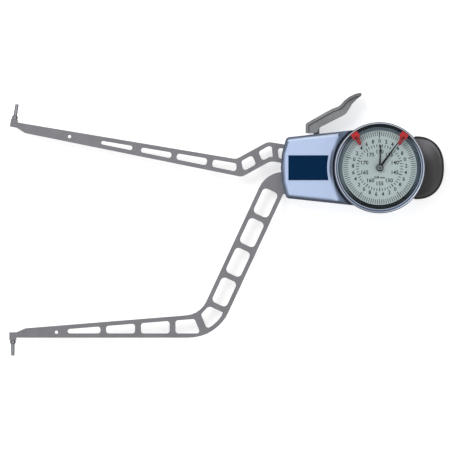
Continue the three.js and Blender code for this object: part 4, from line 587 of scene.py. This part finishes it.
def ring_dark():
    """Dark sloping ring, with painted light at its top and left and painted shade, nearly black, at its
    bottom.
    """
    made = worked("ring_dark", (84, 98, 108), rough=0.35, grain=0.3, bump=0.003, spread=0.08,
                  scratches=0.04, shine=0.15)
    outside = made.math("SUBTRACT", made.radius, VIEW_RADIUS)
    made.lay((46, 60, 76), (outside, 0.7, 1.7, 0, 0.8))
    made.lay((98, 116, 138), (outside, 1.9, 2.3, 0, 0.9))
    # Painted light at the top and left, then painted shade at the bottom, nearly black at its inner edge
    made.lay((122, 136, 146), (made.upward, 0.2, 0.9, 0, 0.6))
    made.lay((134, 150, 158), (made.leftward, 0.3, 0.95, 0, 0.6))
    made.lay((20, 26, 32), (made.upward, -0.2, -0.9, 0, 0.95))
    made.lay((2, 4, 6), (outside, 1.3, 0.6), (made.upward, -0.3, -0.85))
    return made.done()


def clear_glass():
    """Clear, with a weak uneven gloss that grows where the glass is seen at a slant."""
    material = bpy.data.materials.new("clear_glass")
    tree = empty_tree(material)
    place = add_node(tree, "ShaderNodeTexCoord").outputs["Object"]
    haze = add_node(tree, "ShaderNodeTexNoise", {"Vector": place, "Scale": 400}).outputs["Fac"]
    least = add_node(tree, "ShaderNodeMapRange", {"Value": haze, "To Min": 0.001, "To Max": 0.008})
    slant = add_node(tree, "ShaderNodeLayerWeight", {"Blend": 0.1}).outputs["Facing"]
    share = add_node(tree, "ShaderNodeMath", {0: slant, 1: 0.25, 2: least}, operation="MULTIPLY_ADD")
    clear = add_node(tree, "ShaderNodeBsdfTransparent", {"Color": (0.985, 0.99, 0.99, 1)})
    gloss = add_node(tree, "ShaderNodeBsdfGlossy", {"Roughness": 0.08})
    both = add_node(tree, "ShaderNodeMixShader", {0: share, 1: clear, 2: gloss})
    add_node(tree, "ShaderNodeOutputMaterial", {0: both})
    return material


looks = {name: worked(name, **values).done() for name, values in PLAIN.items()}
for build in (lever_grey, pin_steel, hub_grey, housing_paint, grip_black, marker_red, bezel_metal, ring_dark,
              clear_glass):
    looks[build.__name__] = build()

# CAD nodes that are shown as they are, under the name of their material
PAINTED = {
    "housing_paint": ["housing_shell"],
    "cover_grey": ["rear_cover"],
    "label_navy": ["label_plate"],
    "arm_grey": ["lower_arm", "upper_arm"],
    "lever_grey": ["press_lever"],
    "bright_steel": ["pivot_shaft", "lever_shaft", "lever_drive_pin", "stop_pin", "spring_hook_pin",
                     "spring_post", "centre_arbor", "bezel_spring_ring", "first_arbor"],
    "dark_steel": [name for name in nodes if "screw" in name],
    "brass": ["gear_sector", "movement_plate", "movement_bridge", "transfer_wheel", "counter_drive_gear",
              "counter_tube", "counter_gear", "hairspring_stud", "movement_pillar_1", "movement_pillar_2",
              "movement_pillar_3"],
    "bronze": ["pivot_bush", "hairspring"],
    "rubber": ["crystal_gasket"],
}
for look, names in PAINTED.items():
    for name in names:
        nodes[name].data.materials.clear()
        nodes[name].data.materials.append(looks[look])


def dress(piece, look, slot, *replaced):
    """Gives a fine piece its material and hides the CAD nodes that it stands for. Its slot is not used."""
    piece.data.materials.append(looks[look])
    if replaced:
        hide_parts(*replaced)
    return piece


# Finer edges on the CAD pieces, whose split corners are joined within WELD metres
EDGE_ANGLE = math.radians(40)
CREASE_ANGLE = math.radians(38)
FLAT_ANGLE = math.radians(0.3)
WELD = 2e-6


def clean_group():
    """Joins the split corners of an imported mesh and drops its stored normals."""
    group, start = geometry_group("clean")
    weld = add_node(group, "GeometryNodeMergeByDistance", {0: start, "Distance": WELD})
    drop = add_node(group, "GeometryNodeRemoveAttribute", {0: weld, "Name": "custom_normal"})
    smooth = add_node(group, "GeometryNodeSetShadeSmooth", {0: drop})
    add_node(group, "NodeGroupOutput", {0: smooth})
    return group


def sharpen_group():
    """Marks the steeper edges as sharp."""
    group, start = geometry_group("sharpen")
    angles = add_node(group, "GeometryNodeInputMeshEdgeAngle")
    above = add_node(group, "FunctionNodeCompare", {0: angles, 1: CREASE_ANGLE}, operation="GREATER_THAN")
    creased = {0: start, "Selection": above, "Shade Smooth": False}
    edges = add_node(group, "GeometryNodeSetShadeSmooth", creased, domain="EDGE")
    add_node(group, "NodeGroupOutput", {0: edges})
    return group


def strap_group():
    """Gives a bevel weight to the lever's edges, but not to those round its neck and below it."""
    neck_left, neck_right, neck_top, neck_bottom = -48.6, -40.5, 31.5, 24.9
    group, start = geometry_group("strap_edges")
    angles = add_node(group, "GeometryNodeInputMeshEdgeAngle")
    here = add_node(group, "ShaderNodeSeparateXYZ", {0: add_node(group, "GeometryNodeInputPosition")}).outputs

    def test(value, operation, limit):
        """Whether a value is above or below a limit."""
        return add_node(group, "FunctionNodeCompare", {0: value, 1: limit}, operation=operation)

    def joined(operation, first, second):
        """Two tests joined by AND or OR."""
        return add_node(group, "FunctionNodeBooleanMath", {0: first, 1: second}, operation=operation)

    steep = test(angles, "GREATER_THAN", EDGE_ANGLE)
    clear = joined("OR", test(here["X"], "LESS_THAN", neck_left * MM),
                   test(here["X"], "GREATER_THAN", neck_right * MM))
    clear = joined("OR", clear, test(here["Y"], "GREATER_THAN", neck_top * MM))
    clear = joined("AND", clear, test(here["Y"], "GREATER_THAN", neck_bottom * MM))
    weights = {"Geometry": start, "Selection": joined("AND", steep, clear), "Name": "bevel_weight_edge",
               "Value": 1.0}
    store = add_node(group, "GeometryNodeStoreNamedAttribute", weights, domain="EDGE", data_type="FLOAT")
    add_node(group, "NodeGroupOutput", {0: store})
    return group


CLEAN = clean_group()
SHARPEN = sharpen_group()


def bevel(piece, width, steps, limit="ANGLE"):
    """Breaks the edges of a piece by a small radius."""
    edge = piece.modifiers.new("edge", "BEVEL")
    edge.width = width * MM
    edge.segments = steps
    edge.limit_method = limit
    edge.angle_limit = EDGE_ANGLE


def ease(name, width=0.0, steps=2, marks=None):
    """Smooth shading on a CAD node, with its edges broken by a small radius where a width is given.

    Marks is a group that gives the edges to be broken a bevel weight; without it every steep edge is broken.
    """
    node = nodes[name]
    node.modifiers.new("clean", "NODES").node_group = CLEAN
    if width:
        flat = node.modifiers.new("flat", "DECIMATE")
        flat.decimate_type = "DISSOLVE"
        flat.angle_limit = FLAT_ANGLE
        if marks:
            node.modifiers.new("marks", "NODES").node_group = marks
        bevel(node, width, steps, "WEIGHT" if marks else "ANGLE")
    node.modifiers.new("sharpen", "NODES").node_group = SHARPEN
    node.modifiers.new("weigh", "WEIGHTED_NORMAL").keep_sharp = True


BROKEN_EDGES = {
    "lower_arm": dict(width=0.35, steps=3),
    "upper_arm": dict(width=0.35, steps=3),
    "press_lever": dict(width=0.3, steps=3, marks=strap_group()),
    "label_plate": dict(width=0.12, steps=2),
}
for each in nodes:
    ease(each, **BROKEN_EDGES.get(each, {}))

# Bezel, from the foot up its wall and over the crown, then the track with its groove, the bore and the seat
FOOT = [(-0.6, 0), (-0.18, 0.18), (0, 0.6)]
CROWN = [(0, -1.2), (-0.1, -0.65), (-0.35, -0.25), (-0.7, 0), (-0.92, -0.04), (-1.1, -0.2), (-1.2, -0.5)]
TRACK = [(-1.2, 0), (-1.5, -0.04), (-1.6, -0.2), (-1.8, -0.2), (-1.9, -0.04), (-2.0, 0), (-2.7, 0)]
SEAT_LOW = DIAL_LOW - SEAT_THICKNESS
bezel = lathe("bezel_fine", [
    (BORE, BEZEL_LOW), *moved(FOOT, BEZEL_RADIUS, BEZEL_LOW), *moved(CROWN, BEZEL_RADIUS, BEZEL_HIGH),
    *moved(TRACK, BEZEL_RADIUS, TRACK_HIGH), (BORE, TRACK_HIGH - 0.15), (BORE, DIAL_LOW),
    (SEAT_RADIUS, DIAL_LOW), (SEAT_RADIUS, SEAT_LOW), (BORE, SEAT_LOW),
], "bezel")
dress(bezel, "bezel_metal", "bezel_metal", "bezel_ring")

# Dial, its sloping ring and the crystal
DIAL_HOLE = 2.45
dial = lathe("dial_fine", [
    (DIAL_HOLE, DIAL_LOW), (DIAL_RADIUS, DIAL_LOW), (DIAL_RADIUS, DIAL_HIGH), (DIAL_HOLE + 0.15, DIAL_HIGH),
    (DIAL_HOLE, DIAL_HIGH - 0.1),
], "bezel")
dress(dial, "dial_face", "dial_face", "dial_plate")

slope_ring = lathe("dial_ring_fine", [
    (VIEW_RADIUS, DIAL_HIGH), (DIAL_RADIUS, DIAL_HIGH), (DIAL_RADIUS, CRYSTAL_LOW),
    (DIAL_RADIUS - 0.8, CRYSTAL_LOW), (DIAL_RADIUS - 0.95, CRYSTAL_LOW - 0.15),
    (VIEW_RADIUS + 0.3, DIAL_HIGH + 0.35), (VIEW_RADIUS + 0.1, DIAL_HIGH + 0.1),
], "bezel")
dress(slope_ring, "ring_dark", "dial_ring", "dial_ring")

crystal = lathe("crystal_fine", [
    (0, CRYSTAL_LOW), (CRYSTAL_RADIUS - 0.1, CRYSTAL_LOW), (CRYSTAL_RADIUS, CRYSTAL_LOW + 0.1),
    (CRYSTAL_RADIUS, CRYSTAL_HIGH - 0.35), (CRYSTAL_RADIUS - 0.1, CRYSTAL_HIGH - 0.15),
    (CRYSTAL_RADIUS - 0.4, CRYSTAL_HIGH), (0, CRYSTAL_HIGH),
], "bezel")
dress(crystal, "clear_glass", "crystal", "crystal")

# Printed graduation, one thin mesh
INK_THICKNESS = 0.03
BOLDER = 0.075
CAPITAL_SHARE = 0.7
TEXT_CORNERS = 3
OUTER_TICKS = 100
OUTER_END = 26.0
INNER_TICKS = 50
INNER_END = 16.8
DIGITS = 25
DIGIT_RING = 19.1
DIGIT_HEIGHT = 2.6
NUMBERS = 10
NUMBER_RING = 11.4
NUMBER_HEIGHT = 2.7
FIRST_NUMBER = 130
NUMBER_STEP = 5
VALUE_HEIGHT = 1.5
VALUE_PLACE = (0, -7.0)

# Where each kind of tick starts, and its width
OUTER_WHOLE = (21.6, 0.6)
OUTER_HALF = (22.3, 0.4)
OUTER_PLAIN = (22.8, 0.4)
INNER_LONG = (14.3, 0.6)
INNER_PLAIN = (14.9, 0.5)


def add_tick(form, share, inner, outer, width):
    """A bar along a radius, at a share of the turn from the top of the dial."""
    angle = 2 * math.pi * share
    corners = []
    for radius, side in ((inner, -1), (inner, 1), (outer, 1), (outer, -1)):
        x, y = clockwise(angle, radius)
        aside = side * width / 2
        corners.append((x + aside * math.cos(angle), y - aside * math.sin(angle)))
    prism(form, corners, DIAL_HIGH, DIAL_HIGH + INK_THICKNESS)


def add_text(form, words, height, place):
    """Upright words of that height, centred on a point of the dial."""
    curve = bpy.data.curves.new("words", "FONT")
    curve.body = words
    curve.size = height * MM / CAPITAL_SHARE
    curve.align_x = "CENTER"
    curve.align_y = "CENTER"
    curve.extrude = INK_THICKNESS / 2 * MM
    curve.offset = BOLDER * MM
    curve.resolution_u = TEXT_CORNERS
    holder = link("words", curve)
    bpy.context.view_layer.update()
    mesh = bpy.data.meshes.new_from_object(holder)
    x, y = place
    mesh.transform(Matrix.Translation((x * MM, y * MM, (DIAL_HIGH + INK_THICKNESS / 2) * MM)))
    form.from_mesh(mesh)
    bpy.data.objects.remove(holder)
    bpy.data.curves.remove(curve)
    bpy.data.meshes.remove(mesh)


def graduation():
    """Two rings of ticks, a ring of digits, a ring of numbers and the value of a division."""
    form = bmesh.new()
    for i in range(OUTER_TICKS):
        start, width = OUTER_WHOLE if i % 20 == 0 else OUTER_HALF if i % 10 == 0 else OUTER_PLAIN
        add_tick(form, i / OUTER_TICKS, start, OUTER_END, width)
    for i in range(INNER_TICKS):
        start, width = INNER_LONG if i % 5 == 0 else INNER_PLAIN
        add_tick(form, i / INNER_TICKS, start, INNER_END, width)
    for i in range(DIGITS):
        place = clockwise(2 * math.pi * i / DIGITS, DIGIT_RING)
        add_text(form, str(2 * i % 10), DIGIT_HEIGHT, place)
    for i in range(NUMBERS):
        place = clockwise(2 * math.pi * i / NUMBERS, NUMBER_RING)
        add_text(form, str(FIRST_NUMBER + NUMBER_STEP * i), NUMBER_HEIGHT, place)
    add_text(form, "0.05 mm", VALUE_HEIGHT, VALUE_PLACE)
    return solid("dial_print", form)


dial_print = graduation()
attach(dial_print, "bezel")
dress(dial_print, "ink", "dial_face")

# Hands
HAND_POINT = 0.4
HAND_ROUNDING = 0.08
HAND_INSET = 0.985
HUB_STEPS = 24


def hand(name, body, reading, heights, length, root, tip, hub):
    """A tapered hand with a round hub, slightly crowned. Root and tip are half widths."""
    low, high = heights
    lean = math.asin(root / hub)
    turns = [math.pi / 2 - lean - (2 * math.pi - 2 * lean) * i / HUB_STEPS for i in range(HUB_STEPS + 1)]
    outline = [(hub * math.cos(turn), hub * math.sin(turn)) for turn in turns]
    outline += [(-tip, length - HAND_POINT), (0, length), (tip, length - HAND_POINT)]
    cos, sin = math.cos(reading), math.sin(reading)
    turned = [(x * cos + y * sin, y * cos - x * sin) for x, y in outline]
    inset = [(x * HAND_INSET, y * HAND_INSET) for x, y in turned]
    levels = [(turned, low), (turned, high - HAND_ROUNDING), (inset, high)]
    return stack([[(x, y, z) for x, y in ring] for ring, z in levels], name, body)


small = hand("small_hand_fine", "small_pointer", SMALL_READING, SMALL_HAND_HEIGHTS, SMALL_LENGTH,
             root=0.5, tip=0.34, hub=SMALL_HUB)
dress(small, "hand_black", "hand_black", "small_hand")
main = hand("main_hand_fine", "main_pointer", MAIN_READING, MAIN_HAND_HEIGHTS, MAIN_LENGTH,
            root=0.78, tip=0.3, hub=MAIN_HUB)
dress(main, "hand_black", "hand_black", "main_hand")

# Cap of the hub, as radii and heights above the main hand
CAP = [(0, 0), (1.85, 0), (1.9, 0.12), (1.75, 0.26), (1.3, 0.3), (1.15, 0.12), (0.75, 0.12), (0.7, 0.4),
       (0.55, 0.48), (0, 0.5)]
cap = lathe("hand_hub", moved(CAP, 0, MAIN_HAND_HEIGHTS[1]), "main_pointer", sides=48)
dress(cap, "hub_grey", "steel")

# Tolerance markers
HEAD_START = 26.3
HEAD_END = 31.2
TONGUE_ROUNDING = 1.25
TONGUE_CENTRE = 22.45
TONGUE_THICKNESS = 0.5
TONGUE_ROOT = (1.9, 27.0)
TONGUE_SLANT = 0.2
CLIP_EASING = 0.16
CLIP_SIDE = [(1.25, 22.2), (1.7, 25.6), (2.0, 26.4), (2.5, 26.7), (2.8, 27.2), (2.8, 30.5), (2.5, 31.05)]


def mirrored(half):
    """A whole outline from its right half."""
    return half + [(-x, y) for x, y in half[::-1] if x > ON_AXIS]


def marker(name, body, node, turn):
    """A clip with a rounded head on the track and a tapered tongue over the dial."""
    tip = [clockwise(math.radians(angle), TONGUE_ROUNDING) for angle in range(0, 80, 15)]
    rim = [clockwise(math.radians(angle), HEAD_END) for angle in (4, 2, 0)]
    half = [(x, TONGUE_CENTRE - y) for x, y in tip] + CLIP_SIDE + rim
    form = bmesh.new()
    tongue = mirrored([(x, y) for x, y in half if y < HEAD_START] + [TONGUE_ROOT])
    prism(form, tongue, TRACK_HIGH, TRACK_HIGH + TONGUE_THICKNESS)
    head = [(x, y) for x, y in mirrored(half) if y > HEAD_START]
    prism(form, head, TRACK_HIGH, CLIP_HIGH)
    for corner in form.verts:
        below = max(0.0, TONGUE_ROOT[Y] * MM - corner.co.y)
        corner.co.x -= math.copysign(TONGUE_SLANT, turn) * below
    bmesh.ops.rotate(form, verts=form.verts, cent=(0, 0, 0), matrix=Matrix.Rotation(turn, 3, "Z"))
    piece = solid(name, form)
    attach(piece, body)
    bevel(piece, CLIP_EASING, steps=2)
    piece.modifiers.new("sharpen", "NODES").node_group = SHARPEN
    return dress(piece, "marker_red", "marker_red", node)


marker("low_marker_fine", "low_marker", "low_limit_marker", MARKER_ANGLE)
marker("high_marker_fine", "high_marker", "high_limit_marker", -MARKER_ANGLE)

# Grip, with how far each of its rings is set in, and its height from the foot or from the rim
GRIP_FOOT = [(1.4, 0), (0.75, 0.15), (0.3, 0.55), (0.06, 1.2), (0, 2.0)]
GRIP_RIM = [(0, -3.0), (0.1, -2.0), (0.4, -1.2), (0.95, -0.5), (1.7, -0.1), (2.5, 0), (3.4, -0.15),
            (4.6, -0.6), (6.2, -1.0), (8, -1.2), (10, -1.3)]
GRIP_STEPS = 48
GRIP_BORE_STEPS = 24
POCKET_START = 28
SCREW_HOLES = ((2.5, 3.4), (1.5, 7.5))
HOLE_FOOT = -1


def grip_ring(inset, height):
    """The grip's outline, set in from its outer edge, with the bore round the case left where it is."""
    power = 2 / GRIP_SQUARENESS
    ring = []
    for i in range(GRIP_STEPS + 1):
        turn = math.pi / 2 - math.pi * i / GRIP_STEPS
        across = max(math.cos(turn), 0.0) ** power
        side = math.copysign(abs(math.sin(turn)) ** power, turn)
        reach = GRIP_REACH - GRIP_SHOULDER - inset
        ring.append((GRIP_SHOULDER + reach * across, (GRIP_HALF - inset) * side, height))
    lean = math.asin((GRIP_BORE_HALF - inset) / GRIP_BORE)
    for i in range(GRIP_BORE_STEPS + 1):
        turn = -lean + 2 * lean * i / GRIP_BORE_STEPS
        ring.append((GRIP_BORE * math.cos(turn), GRIP_BORE * math.sin(turn), height))
    return ring


def cutter(corners, low, high):
    """A block to be taken out of the grip."""
    form = bmesh.new()
    prism(form, corners, low, high)
    return solid("cutter", form)


def grip_cutters():
    """The pocket for the housing's tongue, and a stepped hole for each screw."""
    end, half = TONGUE_REACH + TONGUE_GAP, TONGUE_HALF + TONGUE_GAP
    pocket = [(POCKET_START, -half), (end, -half), (end, half), (POCKET_START, half)]
    tools = [cutter(pocket, TONGUE_LOW - TONGUE_GAP, TONGUE_HIGH + TONGUE_GAP)]
    for screw in ("grip_screw_1", "grip_screw_2"):
        x, y = [round(place, 2) for place in middle(screw).xy]
        for radius, top in SCREW_HOLES:
            tools.append(cutter(moved(disc(radius, sides=24), x, y), HOLE_FOOT, top))
    return tools


def cut_away(piece, tools):
    """Takes the tools out of a piece and shades what is left."""
    for tool in tools:
        cut = piece.modifiers.new("cut", "BOOLEAN")
        cut.operation = "DIFFERENCE"
        cut.solver = "EXACT"
        cut.object = tool
    bpy.context.view_layer.update()
    cut_piece = piece.evaluated_get(bpy.context.evaluated_depsgraph_get())
    shaped = bpy.data.meshes.new_from_object(cut_piece)
    piece.modifiers.clear()
    piece.data = shaped
    for tool in tools:
        bpy.data.objects.remove(tool)
    shade(shaped)


rings = moved(GRIP_FOOT, 0, GRIP_LOW) + moved(GRIP_RIM, 0, GRIP_HIGH)
grip = stack([grip_ring(*ring) for ring in rings], "grip_fine", "housing")
cut_away(grip, grip_cutters())
dress(grip, "grip_black", "grip_plastic", "grip")

# Contact pins, as radii and heights above the mouth of the arm, where each pin's collar starts
CONTACT = [(0, -4), (0.95, -4), (1.1, -3.85), (1.1, 0), (1.75, 0), (1.75, 0.4), (2.1, 0.45), (2.2, 0.6),
           (2.08, 1.3), (1.8, 2.1), (1.55, 2.55), (1.33, 2.75), (1.28, 3.0), (1.22, 10.55), (1.08, 10.85),
           (0.8, 11), (0, 11)]
LOWER_MOUTH = (-263.25, -123.9)
LOWER_AIM = (0, -1)
UPPER_MOUTH = (-261.97, 34.86)
UPPER_AIM = (0.165, 0.9863)


def contact_pin(node, body, mouth, aim):
    """A pin in the mouth of an arm, laid down along a flat direction."""
    pin = lathe(node + "_fine", CONTACT, body, sides=40)
    laid = Vector((0, 0, 1)).rotation_difference(Vector((*aim, 0))).to_matrix().to_4x4()
    placed = Matrix.Translation((mouth[X] * MM, mouth[Y] * MM, CONTACT_HEIGHT * MM))
    pin.data.transform(placed @ laid)
    dress(pin, "pin_steel", "steel", node)


contact_pin("lower_contact_pin", "housing", LOWER_MOUTH, LOWER_AIM)
contact_pin("upper_contact_pin", "upper_arm", UPPER_MOUTH, UPPER_AIM)

# Return spring, a coil of wire between the hook pin and the post
PIN_RADIUS = 1
WIRE_RADIUS = 0.4
WIRE_GAP = 0.3
COIL_RADIUS = 1.65
PITCH = 1.55
STEPS = 8
LOOP_STEPS = 6


def smoothed(points, steps):
    """Points on a Catmull-Rom curve through the given ones."""
    result = []
    last = len(points) - 1
    for k in range(last):
        a, b, c, d = points[max(k - 1, 0)], points[k], points[k + 1], points[min(k + 2, last)]
        for i in range(steps):
            t = i / steps
            result.append((2 * b + (c - a) * t + (2 * a - 5 * b + 4 * c - d) * t ** 2
                           + (3 * b - a - 3 * c + d) * t ** 3) / 2)
    return result + [points[-1]]


def tube(name, path, radius, sides=10):
    """A closed round wire along a path, with its section carried along without twist."""
    side = (path[1] - path[0]).orthogonal().normalized()
    rings = []
    for k, here in enumerate(path):
        ahead = (path[min(k + 1, len(path) - 1)] - path[max(k - 1, 0)]).normalized()
        side = (side - ahead * side.dot(ahead)).normalized()
        across = ahead.cross(side)
        rings.append([tuple(here + x * side + y * across) for x, y in disc(radius, sides)])
    return stack(rings, name, None)


hook, post = middle("spring_hook_pin"), middle("spring_post")
hook.z = post.z = middle("return_spring").z
length = (post - hook).length
loop = PIN_RADIUS + WIRE_RADIUS + WIRE_GAP
lead = loop + PITCH
steps = round((length - 2 * lead) / PITCH) * STEPS
step = 2 * math.pi / STEPS


def loop_point(centre, turn):
    """A point of the loop round the pin that stands at that distance from the hook."""
    return Vector((centre + loop * math.cos(turn), loop * math.sin(turn), 0))


def coil_point(i):
    """A point of the coil, counted from the hook's end."""
    along = lead + (length - 2 * lead) * i / steps
    return Vector((along, COIL_RADIUS * math.cos(i * step), COIL_RADIUS * math.sin(i * step)))


path = [loop_point(0, (i - LOOP_STEPS) * step) for i in range(LOOP_STEPS)]
path += [coil_point(i) for i in range(steps + 1)]
path += [loop_point(length, math.pi - i * step) for i in range(1, LOOP_STEPS + 1)]
aim = (post - hook).normalized()
place = Matrix.Translation(hook) @ Matrix.Rotation(math.atan2(aim.y, aim.x), 4, "Z")
spring = tube("return_spring_fine", smoothed([place @ point for point in path], steps=3), WIRE_RADIUS)
dress(spring, "bright_steel", "steel", "return_spring")
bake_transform(spring)

# Floor, light and camera, in metres, with the lens in millimetres
FLOOR_SIZE = 8
FLOOR_PLACE = (-0.11, -0.04, -0.00005)
LIT_POINT = (-0.05, -0.02, 0.01)
CAMERA_PLACE = (-0.11086, -0.04107, 8.014)
LENS = 891.4
NEAREST = 1
FARTHEST = 40


def seen_rays(tree):
    """1 on rays from the camera and on those that come by way of gloss or glass, and 0 on the others."""
    ray = add_node(tree, "ShaderNodeLightPath").outputs
    shiny = {0: ray["Is Glossy Ray"], 1: ray["Is Transmission Ray"]}
    either = add_node(tree, "ShaderNodeMath", shiny, operation="MAXIMUM")
    return add_node(tree, "ShaderNodeMath", {0: ray["Is Camera Ray"], 1: either}, operation="MAXIMUM")


def floor_white():
    """Matt white with a glow that is seen, but that sheds no light on the gauge."""
    material = bpy.data.materials.new("floor_white")
    tree = empty_tree(material)
    lift = add_node(tree, "ShaderNodeMath", {0: seen_rays(tree), 1: 0.55}, operation="MULTIPLY")
    glow = add_node(tree, "ShaderNodeEmission", {"Strength": lift})
    matt = add_node(tree, "ShaderNodeBsdfDiffuse", {"Color": (0.86, 0.86, 0.86, 1)})
    total = add_node(tree, "ShaderNodeAddShader", {0: matt, 1: glow})
    add_node(tree, "ShaderNodeOutputMaterial", {0: total})
    return material


def studio():
    """An even pale world, a little weaker in the light that it sheds than where it is seen."""
    world = bpy.data.worlds.new("studio")
    tree = empty_tree(world)
    made = {"Value": seen_rays(tree), "To Min": 0.72, "To Max": 1.0}
    sky = add_node(tree, "ShaderNodeBackground", {"Strength": add_node(tree, "ShaderNodeMapRange", made)})
    add_node(tree, "ShaderNodeOutputWorld", {0: sky})
    return world


def softbox(name, place, size, watts):
    """A square lamp that shines on the gauge."""
    lamp = bpy.data.lights.new(name, "AREA")
    lamp.size = size
    lamp.energy = watts
    holder = link(name, lamp)
    holder.location = place
    aim = Vector(LIT_POINT) - Vector(place)
    holder.rotation_mode = "QUATERNION"
    holder.rotation_quaternion = aim.to_track_quat("-Z", "Y")


bpy.ops.mesh.primitive_plane_add(size=FLOOR_SIZE, location=FLOOR_PLACE)
floor = bpy.context.object
floor.name = "floor"
floor.data.materials.append(floor_white())

scene.world = studio()
softbox("key", (-0.55, 0.65, 1.0), size=0.6, watts=6.0)
softbox("fill", (0.7, -0.5, 1.1), size=0.9, watts=1.8)
scene.view_settings.view_transform = "Standard"

lens = bpy.data.cameras.new("camera")
lens.lens = LENS
lens.clip_start = NEAREST
lens.clip_end = FARTHEST
camera = link("camera", lens)
camera.location = CAMERA_PLACE
scene.camera = camera
